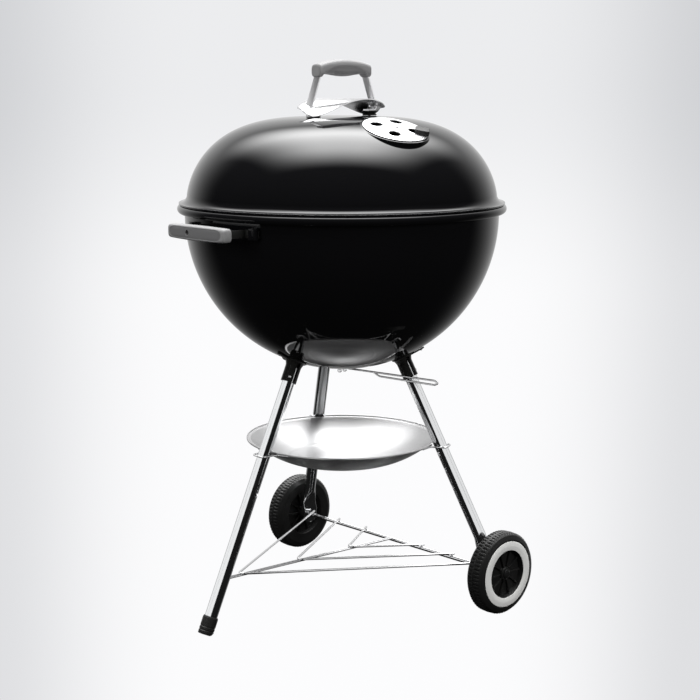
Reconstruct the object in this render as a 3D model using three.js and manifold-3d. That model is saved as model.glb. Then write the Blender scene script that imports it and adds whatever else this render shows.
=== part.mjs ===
// Kettle charcoal grill: an enamelled bowl and a lift-off domed lid on three tubular legs.
// Millimetres, +Z up. The origin is on the floor, under the kettle's vertical axis.
// The front faces -Y, the single foot stands at -X and the axle runs along Y at +X.
import * as THREE from 'three';
import { mergeVertices } from 'three/addons/utils/BufferGeometryUtils.js';
import Module from 'manifold-3d';

const wasm = await Module();
wasm.setup();

// ---------------------------------------------------------------- driving dimensions
const GAP = 0.3;                    // clearance between two pieces that touch
const AROUND = 32;                  // facets around the kettle's axis
const UP = new THREE.Vector3(0, 0, 1);

const SHEET = 2.5;                  // enamelled steel sheet of the bowl and the lid
const BOWL_RADIUS = 287;            // outside of the bowl's wall
const BOWL_CENTRE_Z = 727;          // centre of the bowl's round part
const BOWL_FLOOR_ANGLE = 12.7;      // degrees from straight down where the flat floor begins
const BOWL_STEPS = 8;               // facets from the floor's edge up to the wall
const RIM_ROLL = 8;                 // outer radius of the rolled rim's section
const RIM_LIP_ANGLE = -60;          // degrees where the roll's free edge ends
const RIM_TOP_Z = 745;
const VENT_SLOT_AZIMUTHS = [30, 150, 270];

const LID_RADIUS = 283.6;
const LID_BASE_Z = 748;
const LID_RISE = 154.5;
const LID_SIDE_POWER = 3.49;        // roundness of the lid's side, in plan of its section
const LID_CROWN_POWER = 1.79;       // roundness of the lid's crown
const LID_STEPS = 8;
const FLARE_RADIUS = 15;            // flared skirt at the lid's lower edge

const HANDLE_ARM_TOP_X = 54;        // lid handle's flat bar, half spacing at the grip
const HANDLE_ARM_FOOT_X = 82;
const HANDLE_BOLT_X = 69.5;          // the feet turn inward under the grip
const HANDLE_GRIP_LENGTH = 127;
const HANDLE_TOP_Z = 1003;
const GRIP_UNDERSIDE = { wave: 2, middle: 975, ends: 971 };
const HANDLE_BAR = { width: 16, thickness: 3 };
const HANDLE_BAR_Z = 986;
const SPACER_TOP_Z = 910.5;
const SPACER_RADII = { foot: 13, waist: 11, top: 14 };

const SHIELD_HALF_LENGTH = 98;
const SHIELD_HALF_WIDTH = 36;
const SHIELD_CREST_Z = 933;
const SHIELD_END_DROP = 17;
const SHIELD_SIDE_DROP = { middle: 3, ends: 12 };
const SHIELD_TWIST = 0.005;          // height lost per mm along and per mm across
const SHIELD_SHEET = 1.6;

const VENT_AZIMUTH = -101.9;        // degrees around the kettle
const VENT_FROM_AXIS = 177.4;
const VENT_TILT = 19;               // lean of the vent's axis from upright
const VENT_LIFT = 1;                // seat above the lid's surface at its centre
const VENT_RADIUS = 57;
const VENT_SHEET = 1.5;
const VENT_DOME_RADIUS = 400;
const VENT_SEAT = { inside: 58.6, outside: 61.5, skirt: -20 };
const VENT_HOLE_CIRCLE = 33;
const VENT_HOLE_RADIUS = 11;
const VENT_TAB_AZIMUTH = -45;
const VENT_TAB = { x: 46.5, z: 2.35, depth: 25, width: 23, height: 9.3 };

const SIDE_HANDLE_Z = 712;
const SIDE_GRIP = { length: 154, depth: 20, height: 26, faceX: 343 };
const SIDE_STRAP = { width: 14, thickness: 2.5, x: 331 };
const SIDE_ARM_Y = 64;
const HANG_HOLE_Y = -18;

const LEG_DIAMETER = 23;
const LEG_WALL = 1.5;
const LEG_FLOOR_RADIUS = 332;       // where a leg's line meets the floor
const LEG_SLOPE = 0.464;            // outward run for each unit of drop
const FOOT_AZIMUTH = 180;
const WHEEL_LEG_AZIMUTH = 61.5;
const SOCKET_WALL = 2.6;
const SOCKET_LENGTH = 38;
const BUTTON_RISE = 9;              // snap button above the socket's lower edge

const AXLE_X = 136.4;
const WHEEL_RADIUS = 76.2;
const AXLE_Z = WHEEL_RADIUS;
const WHEEL_WIDTH = 38;
const WHEEL_Y = 278.3;
const AXLE_DIAMETER = 8;
const PLATE_Y = 245;                // flattened leg end, centre of its thickness
const PLATE_THICKNESS = 4.6;
const PLATE_WIDTH = 34;

const RACK_WIRE = 4.2;
const RACK_SPINE_WIRE = 3.2;
const RACK_APEXES = [-257, -117, 14];
const RACK_ENDS = [237, 160, 81];
const RACK_RISE = 0.03;             // climb towards the foot leg

const PAN_RADIUS = 179.5;
const PAN_RIM_Z = 308;
const PAN_FLOOR_Z = 255;
const PAN_SHEET = 1.2;
const CLIP_WIRE = 3;

const COOKING_GRATE_RADIUS = 273;
const COOKING_LEDGE_Z = 712;
const CHARCOAL_GRATE_RADIUS = 216;
const CHARCOAL_LEDGE_Z = 549;

const SWEEP_HUB_RADIUS = 11.5;
const LEVER_AZIMUTH = -71;
const LEVER_REACH = 199;
const LEVER_WIRE = 3.6;
const STUD_X = 6.4;                 // half spacing of the two studs through the hub

// ---------------------------------------------------------------- finishes
const ENAMEL = { color: 0x0b0b0c, roughness: 0.12, metalness: 0.0 };
const ALUMINIUM = { color: 0xc9cacc, roughness: 0.32, metalness: 1.0 };
const POLISHED = { color: 0xdcdee0, roughness: 0.14, metalness: 1.0 };
const PLATED = { color: 0xb9bbbd, roughness: 0.28, metalness: 1.0 };
const NYLON = { color: 0x77787a, roughness: 0.6, metalness: 0.0 };
const BLACK_STEEL = { color: 0x161616, roughness: 0.35, metalness: 0.3 };
const BLACK_PLASTIC = { color: 0x121212, roughness: 0.5, metalness: 0.0 };
const WHITE_PLASTIC = { color: 0xeeeeea, roughness: 0.45, metalness: 0.0 };

const grill = new THREE.Group();

// ---------------------------------------------------------------- shapes and joining
const radians = THREE.MathUtils.degToRad;
const vec = (x, y, z) => new THREE.Vector3(x, y, z);

// A manifold solid from a closed three.js geometry.
function solid(geometry) {
  const bare = geometry.clone();
  bare.deleteAttribute('normal');
  bare.deleteAttribute('uv');
  const merged = mergeVertices(bare, 1e-4);
  const index = merged.index.array;
  const faces = [];
  for (let i = 0; i < index.length; i += 3) {
    const [a, b, c] = index.slice(i, i + 3);
    if (a !== b && b !== c && c !== a) faces.push(a, b, c);
  }
  const vertProperties = merged.attributes.position.array;
  return new wasm.Manifold(new wasm.Mesh({ numProp: 3, vertProperties, triVerts: new Uint32Array(faces) }));
}

function joined(shapes) {
  return shapes.reduce((whole, shape) => whole.add(shape));
}

function geometryOf(shape) {
  const { vertProperties, triVerts } = shape.getMesh();
  const geometry = new THREE.BufferGeometry();
  geometry.setAttribute('position', new THREE.BufferAttribute(vertProperties, 3));
  geometry.setIndex(new THREE.BufferAttribute(triVerts, 1));
  return geometry;
}

function add(name, shape, finish) {
  const mesh = new THREE.Mesh(geometryOf(shape), new THREE.MeshStandardMaterial(finish));
  mesh.name = name;
  grill.add(mesh);
}

function placed(shape, matrix) {
  return solid(geometryOf(shape).applyMatrix4(matrix));
}

// A profile of [radius, height] pairs turned about the Z axis.
function turned(profile, segments = AROUND) {
  const points = profile.map(([radius, height]) => new THREE.Vector2(radius, height));
  return new THREE.LatheGeometry(points, segments).rotateX(Math.PI / 2);
}

function ring(profile, segments) {
  return turned([...profile, profile[0]], segments);
}

// Points on an arc, in degrees, from one angle to another.
function arc(x, y, radius, from, to, steps) {
  return Array.from({ length: steps + 1 }, (_, i) => {
    const angle = radians(from + (to - from) * i / steps);
    return [x + radius * Math.cos(angle), y + radius * Math.sin(angle)];
  });
}

function box(width, depth, height, x = 0, y = 0, z = 0) {
  return new THREE.BoxGeometry(width, depth, height).translate(x, y, z);
}

function cylinder(radius, height, sides = 12) {
  return new THREE.CylinderGeometry(radius, radius, height, sides).rotateX(Math.PI / 2);
}

// A round bar from one point to another.
function rod(from, to, diameter, sides = 8) {
  const along = to.clone().sub(from);
  const turn = new THREE.Quaternion().setFromUnitVectors(UP, along.clone().normalize());
  const middle = from.clone().add(to).multiplyScalar(0.5);
  return cylinder(diameter / 2, along.length(), sides).applyQuaternion(turn)
    .translate(middle.x, middle.y, middle.z);
}

// Straight runs through the corners, joined by round bends. A flat bar also names
// the direction that its width keeps.
class BentPath extends THREE.Curve {
  constructor(corners, bend, across = null) {
    super();
    this.across = across;
    this.stations = [corners[0]];
    for (let i = 1; i < corners.length - 1; i += 1) {
      const back = corners[i - 1].clone().sub(corners[i]).normalize();
      const ahead = corners[i + 1].clone().sub(corners[i]).normalize();
      const turn = Math.PI - back.angleTo(ahead);
      const cut = bend * Math.tan(turn / 2);
      const start = corners[i].clone().addScaledVector(back, cut);
      const end = corners[i].clone().addScaledVector(ahead, cut);
      const round = new THREE.QuadraticBezierCurve3(start, corners[i], end);
      this.stations.push(...round.getPoints(Math.max(1, Math.round(turn / 0.6))));
    }
    this.stations.push(corners[corners.length - 1]);
  }

  get steps() {
    return this.stations.length - 1;
  }

  getPoint(t, target = new THREE.Vector3()) {
    const at = t * this.steps;
    const index = Math.min(Math.floor(at + 1e-9), this.steps - 1);
    return target.lerpVectors(this.stations[index], this.stations[index + 1], at - index);
  }

  getPointAt(t, target) {
    return this.getPoint(t, target);
  }

  getTangentAt(t, target = new THREE.Vector3()) {
    const index = Math.round(t * this.steps);
    const here = this.stations[index];
    const before = this.stations[Math.max(index - 1, 0)];
    const after = this.stations[Math.min(index + 1, this.steps)];
    target.subVectors(here, before).normalize();
    return target.add(after.clone().sub(here).normalize()).normalize();
  }

  computeFrenetFrames(segments) {
    if (!this.across) return super.computeFrenetFrames(segments, false);
    const tangents = [];
    for (let i = 0; i <= segments; i += 1) tangents.push(this.getTangentAt(i / segments));
    const normals = tangents.map(() => this.across.clone());
    const binormals = tangents.map((tangent) => tangent.clone().cross(this.across));
    return { tangents, normals, binormals };
  }
}

function wire(corners, diameter, bend, sides = 6) {
  const path = new BentPath(corners, bend);
  const section = new THREE.Shape(new THREE.EllipseCurve(0, 0, diameter / 2, diameter / 2).getPoints(sides)
    .slice(0, sides));
  return new THREE.ExtrudeGeometry(section, { steps: path.steps, extrudePath: path });
}

function flatBar(corners, width, thickness, bend, across) {
  const path = new BentPath(corners, bend, across);
  const section = new THREE.Shape([
    new THREE.Vector2(-width / 2, -thickness / 2), new THREE.Vector2(width / 2, -thickness / 2),
    new THREE.Vector2(width / 2, thickness / 2), new THREE.Vector2(-width / 2, thickness / 2),
  ]);
  return new THREE.ExtrudeGeometry(section, { steps: path.steps, extrudePath: path });
}

// An outline drawn in the XY plane, raised between two heights.
function raised(points, from, to) {
  const outline = new THREE.Shape(points.map(([x, y]) => new THREE.Vector2(x, y)));
  return new THREE.ExtrudeGeometry(outline, { depth: to - from, bevelEnabled: false, steps: 1 })
    .translate(0, 0, from);
}

// A closed body whose sections follow a list of stations. Each station gives its centre,
// the half axes of its section as two vectors, and how square its corners are (1 is round).
function lofted(stations, sides) {
  const body = new THREE.CylinderGeometry(1, 1, 1, sides, stations.length - 1);
  const position = body.attributes.position;
  const back = stations[0].centre.clone().sub(stations[stations.length - 1].centre);
  const hand = Math.sign(stations[0].half.clone().cross(back).dot(stations[0].thick));
  for (let i = 0; i < position.count; i += 1) {
    const along = (0.5 - position.getY(i)) * (stations.length - 1);
    const { centre, half, thick, square } = stations[Math.round(along)];
    const [x, z] = [position.getX(i), position.getZ(i)];
    const place = centre.clone();
    place.addScaledVector(half, Math.sign(x) * Math.abs(x) ** square);
    place.addScaledVector(thick, hand * Math.sign(z) * Math.abs(z) ** square);
    position.setXYZ(i, place.x, place.y, place.z);
  }
  return body;
}

function around(shape, degrees) {
  return shape.rotate([0, 0, degrees]);
}

// ---------------------------------------------------------------- bowl
// A point of a shell of the given radius, counted in steps up from the floor's edge.
function bowlPoint(radius, step) {
  const angle = radians(BOWL_FLOOR_ANGLE + (90 - BOWL_FLOOR_ANGLE) * step / BOWL_STEPS);
  return [radius * Math.sin(angle), BOWL_CENTRE_Z - radius * Math.cos(angle)];
}

function bowlArc(radius, first, last) {
  const count = Math.abs(last - first);
  const way = Math.sign(last - first);
  return Array.from({ length: count + 1 }, (_, i) => bowlPoint(radius, first + way * i));
}

// Part of a sheet that follows the bowl, between two steps and two radii.
function bowlShell(inner, outer, first, last) {
  return solid(ring([...bowlArc(outer, first, last), ...bowlArc(inner, last, first)]));
}

const bowlInside = BOWL_RADIUS - SHEET;
const bowlFloorZ = bowlPoint(BOWL_RADIUS, 0)[1];
const rollCentreX = bowlInside + RIM_ROLL;
const rollCentreZ = RIM_TOP_Z - RIM_ROLL;

function buildBowl() {
  const outside = bowlArc(BOWL_RADIUS, 0, BOWL_STEPS);
  const rollInner = arc(rollCentreX, rollCentreZ, RIM_ROLL - SHEET, 180, RIM_LIP_ANGLE, 5);
  const rollOuter = arc(rollCentreX, rollCentreZ, RIM_ROLL, RIM_LIP_ANGLE, 180, 6);
  const inside = bowlArc(bowlInside, BOWL_STEPS, 0);
  const profile = [[0, outside[0][1]], ...outside, ...rollInner, ...rollOuter, ...inside,
    [0, inside[inside.length - 1][1]]];
  let bowl = solid(turned(profile));
  for (const azimuth of VENT_SLOT_AZIMUTHS) {
    const outline = [...arc(46, 0, 9, 270, 90, 4), ...arc(100, 0, 15, 90, -90, 4)];
    bowl = bowl.subtract(around(solid(raised(outline, 400, 520)), azimuth));
  }
  const hubHole = solid(cylinder(SWEEP_HUB_RADIUS + 0.5, 40, 20).translate(0, 0, bowlFloorZ));
  add('bowl', bowl.subtract(hubHole), ENAMEL);
}

// Bracket welded inside the wall, with an upper ledge for the cooking grate and a lower
// one for the charcoal grate.
function grateBracket() {
  const strip = bowlShell(bowlInside - GAP - 1.8, bowlInside - GAP, 3, BOWL_STEPS);
  const span = solid(box(120, 22, COOKING_LEDGE_Z - CHARCOAL_LEDGE_Z + 10, 240, 0,
    (COOKING_LEDGE_Z + CHARCOAL_LEDGE_Z) / 2));
  const upper = solid(box(24, 22, 2.2, 270, 0, COOKING_LEDGE_Z - 1.1));
  const lower = solid(box(24, 22, 2.2, 205.6, 0, CHARCOAL_LEDGE_Z - 1.1));
  return joined([strip.intersect(span), upper, lower]);
}

function buildGrateBrackets() {
  for (let i = 0; i < 4; i += 1) {
    add(`grate_bracket_${i + 1}`, around(grateBracket(), 45 + 90 * i), PLATED);
  }
}

// ---------------------------------------------------------------- grates
// Parallel bars welded on a round wire, with two cross bars under them.
function grate(radius, rimWire, barWire, count, ledgeZ, crossAt) {
  const rimRadius = radius - rimWire / 2;
  const rimZ = ledgeZ + GAP + rimWire / 2;
  const barZ = rimZ + (rimWire + barWire) / 2 - 0.8;
  const spacing = 2 * rimRadius / (count + 0.7);
  const rim = new THREE.TorusGeometry(rimRadius, rimWire / 2, 4, AROUND);
  const pieces = [solid(rim.translate(0, 0, rimZ))];
  for (let i = 0; i < count; i += 1) {
    const y = (i - (count - 1) / 2) * spacing;
    const reach = Math.sqrt(rimRadius ** 2 - y ** 2) - 0.6;
    pieces.push(solid(rod(vec(-reach, y, barZ), vec(reach, y, barZ), barWire, 4)));
  }
  for (const x of [-crossAt, crossAt]) {
    const reach = Math.sqrt(rimRadius ** 2 - x ** 2);
    pieces.push(solid(rod(vec(x, -reach, rimZ), vec(x, reach, rimZ), rimWire - 2, 4)));
  }
  return { pieces, rimZ, rimRadius };
}

function buildGrates() {
  const cooking = grate(COOKING_GRATE_RADIUS, 6, 4.4, 27, COOKING_LEDGE_Z, 90);
  for (const side of [-1, 1]) {
    const foot = side * Math.sqrt(cooking.rimRadius ** 2 - 42 ** 2);
    const top = side * 256;
    cooking.pieces.push(solid(wire([
      vec(foot, -42, cooking.rimZ), vec(top, -42, cooking.rimZ + 22),
      vec(top, 42, cooking.rimZ + 22), vec(foot, 42, cooking.rimZ),
    ], 5, 6, 5)));
  }
  add('cooking_grate', joined(cooking.pieces), PLATED);
  const charcoal = grate(CHARCOAL_GRATE_RADIUS, 7, 6, 13, CHARCOAL_LEDGE_Z, 75);
  add('charcoal_grate', joined(charcoal.pieces), PLATED);
}

// ---------------------------------------------------------------- ash sweep
// Three curved blades on a hub that turns in the bowl's floor, and the wire lever below.
function bladeOutline() {
  return [[0, -9], [40, -13], [118, -22], [126, -12], [126, 12], [118, 22], [40, 13], [0, 9]];
}

// The same shape on both studs, at one height.
function studPair(geometry, z) {
  return joined([-1, 1].map((side) => solid(geometry.clone().translate(STUD_X * side, 0, z))));
}

function buildSweep() {
  const under = bowlInside - 0.6;
  const top = under - 1.6;
  const floorUnder = bowlPoint(under, 0)[1];
  const floorTop = bowlPoint(top, 0)[1];
  const dish = solid(turned([[0, floorUnder], ...bowlArc(under, 0, 2), ...bowlArc(top, 2, 0),
    [0, floorTop]]));
  const blade = solid(raised(bladeOutline(), 440, 520));
  const blades = VENT_SLOT_AZIMUTHS.map((azimuth) => around(blade, azimuth - 60));
  const hubDisc = solid(cylinder(20, 100, 20).translate(0, 0, floorUnder + 50));
  const holes = studPair(cylinder(2.9, 60, 10), floorUnder);
  add('sweep_blades', dish.intersect(joined([...blades, hubDisc])).subtract(holes), PLATED);

  const hubTop = floorUnder - GAP;
  const hubBottom = bowlFloorZ - 3.5;
  const hub = solid(cylinder(SWEEP_HUB_RADIUS, hubTop - hubBottom, 20)
    .translate(0, 0, (hubTop + hubBottom) / 2));
  const collar = solid(cylinder(16, 3, 20).translate(0, 0, hubBottom - 1.2));
  add('sweep_hub', joined([hub, collar]).subtract(holes), PLATED);

  const plateTop = hubBottom - 2.7 - GAP;
  const plateOutline = [...arc(-10, 0, 8, 270, 90, 5), ...arc(14, 0, 8, 90, -90, 5)];
  const plate = solid(raised(plateOutline, plateTop - 2, plateTop));
  const leverZ = plateTop - 2 - LEVER_WIRE / 2 + 0.5;
  const lowZ = leverZ - 6.5;
  const tipZ = leverZ - 12;
  const hairpin = solid(wire([
    vec(12, 0, leverZ), vec(LEVER_REACH - 10, 0, tipZ + 5), vec(LEVER_REACH, 0, tipZ + 1),
    vec(LEVER_REACH - 10, 0, tipZ - 3), vec(78, 0, lowZ - 2.5), vec(66, 0, leverZ - 2.4),
  ], LEVER_WIRE, 3.4, 6));
  const lever = around(joined([plate, hairpin]), LEVER_AZIMUTH);
  add('sweep_lever', lever.subtract(studPair(cylinder(2.9, 60, 10), plateTop)), PLATED);

  [-1, 1].forEach((side, i) => {
    const nutTop = plateTop - 2 - LEVER_WIRE + 0.5 - GAP;
    const nut = solid(cylinder(4.6, 4, 6).translate(0, 0, nutTop - 2));
    const stud = solid(rod(vec(0, 0, nutTop - 5.5), vec(0, 0, floorTop + 2.5), 5, 10));
    const head = solid(cylinder(4.4, 2, 10).translate(0, 0, floorTop + 1.8));
    add(`sweep_nut_${i + 1}`, joined([nut, stud, head]).translate([STUD_X * side, 0, 0]), PLATED);
  });
}

// ---------------------------------------------------------------- lid
// (r/R)^side + ((z-base)/rise)^crown = 1, walked by an angle from the crown to the skirt.
function lidPoint(inset, angle) {
  const radius = (LID_RADIUS - inset) * Math.sin(angle) ** (2 / LID_SIDE_POWER);
  const rise = (LID_RISE - inset) * Math.cos(angle) ** (2 / LID_CROWN_POWER);
  return [radius, LID_BASE_Z + rise];
}

function lidHeight(radius) {
  return LID_BASE_Z + LID_RISE * (1 - (radius / LID_RADIUS) ** LID_SIDE_POWER) ** (1 / LID_CROWN_POWER);
}

function lidArc(inset, steps = LID_STEPS) {
  return Array.from({ length: steps + 1 }, (_, i) => lidPoint(inset, radians(83) * i / steps));
}

// The vent's own frame: Z along its axis, the origin on its seat.
function ventFrame() {
  const azimuth = radians(VENT_AZIMUTH);
  const frame = new THREE.Matrix4().makeTranslation(
    VENT_FROM_AXIS * Math.cos(azimuth), VENT_FROM_AXIS * Math.sin(azimuth), lidHeight(VENT_FROM_AXIS));
  frame.multiply(new THREE.Matrix4().makeRotationZ(azimuth));
  frame.multiply(new THREE.Matrix4().makeRotationY(radians(VENT_TILT)));
  frame.multiply(new THREE.Matrix4().makeTranslation(0, 0, VENT_LIFT));
  return frame.multiply(new THREE.Matrix4().makeRotationZ(-azimuth));
}

function handleBoltHoles() {
  return joined([-1, 1].map((side) => solid(cylinder(3.5, 60, 10)
    .translate(side * HANDLE_BOLT_X, 0, SPACER_TOP_Z))));
}

function domeArc(height, from, to, steps) {
  return Array.from({ length: steps + 1 }, (_, i) => {
    const radius = from + (to - from) * i / steps;
    return [radius, height - radius ** 2 / (2 * VENT_DOME_RADIUS)];
  });
}

function ventHoles(radius) {
  return joined([0, 1, 2, 3].map((i) => {
    const hole = solid(cylinder(radius, 60, 8).translate(VENT_HOLE_CIRCLE, 0, 0));
    return around(hole, VENT_TAB_AZIMUTH + 90 * i);
  }));
}

function buildLid() {
  const outside = lidArc(0).reverse();
  const inside = lidArc(SHEET);
  const [joinRadius, joinZ] = outside[0];
  const flareX = joinRadius + FLARE_RADIUS;
  const upper = arc(flareX, joinZ, FLARE_RADIUS, 270, 180, 3);
  const lower = arc(flareX, joinZ, FLARE_RADIUS + SHEET, 180, 270, 3);
  const profile = [...inside, ...lower, ...upper, ...outside];
  const drop = RIM_TOP_Z + GAP - (joinZ - FLARE_RADIUS - SHEET);
  const shell = solid(turned(profile)).translate([0, 0, drop]);

  const frame = ventFrame();
  const { inside: seatInside, outside: seatOutside, skirt } = VENT_SEAT;
  const openingRadius = (seatInside + seatOutside) / 2;
  const opening = solid(cylinder(openingRadius, 60, 20).applyMatrix4(frame));
  const seatOutline = [[0, -SHEET], ...domeArc(-SHEET, 12, seatInside, 3), [seatInside, skirt],
    [seatOutside, skirt], ...domeArc(0, seatOutside, 12, 3), [0, 0]];
  const seat = solid(turned(seatOutline, 20).applyMatrix4(frame));
  const holes = placed(ventHoles(VENT_HOLE_RADIUS - 1), frame);
  const rivetHole = solid(cylinder(3.4, 60, 12).applyMatrix4(frame));
  const cuts = joined([holes, rivetHole, handleBoltHoles()]);
  add('lid', joined([shell.subtract(opening), seat]).subtract(cuts), ENAMEL);
}

function buildVent() {
  const frame = ventFrame();
  const underside = domeArc(GAP, 0, VENT_RADIUS, 3);
  const topside = domeArc(GAP + VENT_SHEET, VENT_RADIUS, 0, 3);
  const holes = ventHoles(VENT_HOLE_RADIUS).add(solid(cylinder(3.4, 30, 12)));
  const disc = solid(turned([...underside, ...topside], 20)).subtract(holes);
  add('lid_vent_disc', placed(disc, frame), ALUMINIUM);

  const roomAbove = domeArc(VENT_SHEET + 2 * GAP, VENT_RADIUS + 1, 0, 3);
  const clearance = solid(turned([[0, -30], [VENT_RADIUS + 1, -30], ...roomAbove], 24));
  const tabBox = box(VENT_TAB.depth, VENT_TAB.width, VENT_TAB.height, VENT_TAB.x, 0, VENT_TAB.z);
  const tab = solid(tabBox).subtract(clearance);
  add('lid_vent_tab', placed(around(tab, VENT_TAB_AZIMUTH), frame), BLACK_PLASTIC);

  const shank = solid(cylinder(3, 12, 12).translate(0, 0, -3));
  const head = solid(cylinder(6, 1.8, 14).translate(0, 0, GAP * 2 + VENT_SHEET + 0.9));
  add('lid_vent_rivet', placed(joined([shank, head]), frame), ALUMINIUM);
}

// Flat bar from one foot up through the grip and down to the other foot.
function handleBarCorners() {
  const footZ = SPACER_TOP_Z + GAP + HANDLE_BAR.thickness / 2;
  const corners = [vec(HANDLE_BOLT_X - 9, 0, footZ), vec(HANDLE_ARM_FOOT_X, 0, footZ),
    vec(HANDLE_ARM_TOP_X, 0, HANDLE_BAR_Z)];
  const mirrored = corners.map(({ x, y, z }) => vec(-x, y, z)).reverse();
  return [...corners, ...mirrored];
}

function handleBar(extra) {
  return solid(flatBar(handleBarCorners(), HANDLE_BAR.width + extra, HANDLE_BAR.thickness + extra, 6,
    vec(0, 1, 0)));
}

function buildLidHandle() {
  const boltHoles = handleBoltHoles();
  add('lid_handle_bar', handleBar(0).subtract(boltHoles), ALUMINIUM);

  const half = HANDLE_GRIP_LENGTH / 2;
  const stations = [-1, -0.93, -0.75, -0.4, 0, 0.4, 0.75, 0.93, 1].map((t) => {
    const end = Math.abs(t) > 0.95 ? 0.86 : 1;
    const topZ = HANDLE_TOP_Z - 9 * t ** 2;
    const pad = GRIP_UNDERSIDE.middle - GRIP_UNDERSIDE.wave * Math.cos(t * Math.PI / 0.75);
    const bottomZ = Math.abs(t) < 0.8 ? pad : GRIP_UNDERSIDE.ends;
    return { centre: vec(t * half, 0, (topZ + bottomZ) / 2), half: vec(0, 13 * end, 0),
      thick: vec(0, 0, (topZ - bottomZ) / 2 * end), square: 0.6 };
  });
  add('lid_handle_grip', solid(lofted(stations, 14)).subtract(handleBar(2 * GAP)), NYLON);

  [-1, 1].forEach((side, i) => {
    const hand = ['left', 'right'][i];
    const x = side * HANDLE_BOLT_X;
    const { foot, waist, top } = SPACER_RADII;
    const baseZ = lidHeight(HANDLE_BOLT_X - foot) + GAP;
    const spacer = solid(turned([[0, baseZ], [foot, baseZ], [waist, (baseZ + SPACER_TOP_Z) / 2],
      [top, SPACER_TOP_Z], [0, SPACER_TOP_Z]], 16).translate(x, 0, 0));
    add(`lid_handle_spacer_${hand}`, spacer.subtract(boltHoles), BLACK_PLASTIC);
    const headZ = SPACER_TOP_Z + HANDLE_BAR.thickness + 2 * GAP;
    const head = solid(cylinder(5.5, 3, 6).translate(x, 0, headZ + 1.5));
    const shank = solid(rod(vec(x, 0, lidHeight(HANDLE_BOLT_X) - 12), vec(x, 0, headZ + 1), 6, 10));
    add(`lid_handle_bolt_${hand}`, joined([head, shank]), PLATED);
  });
}

// Leaf-shaped sheet, twisted a little, that arches over the lid under the grip and has a slot
// for each arm.
function buildHeatShield() {
  const sheet = new THREE.BoxGeometry(2, 2, 1, 10, 4, 1);
  const position = sheet.attributes.position;
  for (let i = 0; i < position.count; i += 1) {
    const along = position.getX(i);
    const across = position.getY(i);
    const halfWidth = 7 + (SHIELD_HALF_WIDTH - 7) * Math.sqrt(Math.max(0, 1 - Math.abs(along) ** 2.2));
    const crest = SHIELD_CREST_Z - SHIELD_END_DROP * along ** 2;
    const droop = SHIELD_SIDE_DROP.middle + SHIELD_SIDE_DROP.ends * along ** 2;
    const drop = droop * across ** 2 * (halfWidth / SHIELD_HALF_WIDTH);
    const [x, y] = [along * SHIELD_HALF_LENGTH, across * halfWidth];
    position.setXYZ(i, x, y, crest - drop - SHIELD_TWIST * x * y + position.getZ(i) * SHIELD_SHEET);
  }
  const slots = joined([-1, 1].map((side) => solid(box(9, HANDLE_BAR.width + 2, 30,
    side * (HANDLE_ARM_FOOT_X - 3.5), 0, SHIELD_CREST_Z - 11))));
  add('heat_shield', solid(sheet).subtract(slots), ALUMINIUM);
}

function buildLidHook() {
  const corners = [vec(202, 0, lidHeight(202) - SHEET - 4.5), vec(222, 0, lidHeight(222) - SHEET - 4.5),
    vec(238, 0, 800)];
  const hook = solid(flatBar(corners, 20, 2, 8, vec(0, 1, 0)));
  add('lid_hook', around(hook, 90), PLATED);
}

// ---------------------------------------------------------------- side handles
function sideStrap(extra) {
  const foot = (angle) => vec((BOWL_RADIUS + 2.5) * Math.cos(radians(angle)),
    (BOWL_RADIUS + 2.5) * Math.sin(radians(angle)), SIDE_HANDLE_Z);
  const corners = [foot(-18.4), foot(-13), vec(SIDE_STRAP.x, -SIDE_ARM_Y, SIDE_HANDLE_Z),
    vec(SIDE_STRAP.x, SIDE_ARM_Y, SIDE_HANDLE_Z), foot(13), foot(18.4)];
  return solid(flatBar(corners, SIDE_STRAP.width + extra, SIDE_STRAP.thickness + extra, 5, UP));
}

function buildSideHandles() {
  const { length, depth, height, faceX } = SIDE_GRIP;
  const stations = [-1, -0.94, -0.6, 0, 0.6, 0.94, 1].map((t) => {
    const end = Math.abs(t) > 0.97 ? 0.8 : 1;
    const face = faceX - 3.5 * t ** 2;
    return { centre: vec(face - depth / 2, t * length / 2, SIDE_HANDLE_Z),
      half: vec(depth / 2 * end, 0, 0), thick: vec(0, 0, height / 2 * end), square: 0.4 };
  });
  const slot = solid(box(60, 2 * SIDE_ARM_Y + 8, SIDE_STRAP.width + 2 * GAP,
    SIDE_STRAP.x + SIDE_STRAP.thickness / 2 + GAP - 30, 0, SIDE_HANDLE_Z));
  const hangHole = solid(rod(vec(SIDE_STRAP.x + 3, HANG_HOLE_Y, SIDE_HANDLE_Z),
    vec(360, HANG_HOLE_Y, SIDE_HANDLE_Z), 9.8, 10));
  const grip = solid(lofted(stations, 14)).subtract(slot).subtract(hangHole);
  [['left', 180], ['right', 0]].forEach(([hand, azimuth]) => {
    add(`side_grip_${hand}`, around(grip, azimuth), NYLON);
    add(`side_strap_${hand}`, around(sideStrap(0), azimuth), BLACK_STEEL);
    [['a', -1], ['b', 1]].forEach(([letter, side]) => {
      const keeper = solid(box(9, 17, 20, BOWL_RADIUS + 5.2, 0, SIDE_HANDLE_Z));
      const channel = solid(box(9, 30, SIDE_STRAP.width + 2 * GAP,
        BOWL_RADIUS + 2.5 + SIDE_STRAP.thickness / 2 + GAP - 4.3, 0, SIDE_HANDLE_Z));
      const bracket = around(keeper.subtract(channel), side * 16.6);
      add(`side_bracket_${hand}_${letter}`, around(bracket, azimuth), ENAMEL);
    });
  });
}

// ---------------------------------------------------------------- legs and sockets
const legTilt = Math.atan(LEG_SLOPE);

// A frame with Z up along a leg that leans out towards +X, its origin on the floor.
function legFrame() {
  const frame = new THREE.Matrix4().makeTranslation(LEG_FLOOR_RADIUS, 0, 0);
  return frame.multiply(new THREE.Matrix4().makeRotationY(-legTilt));
}

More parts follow.
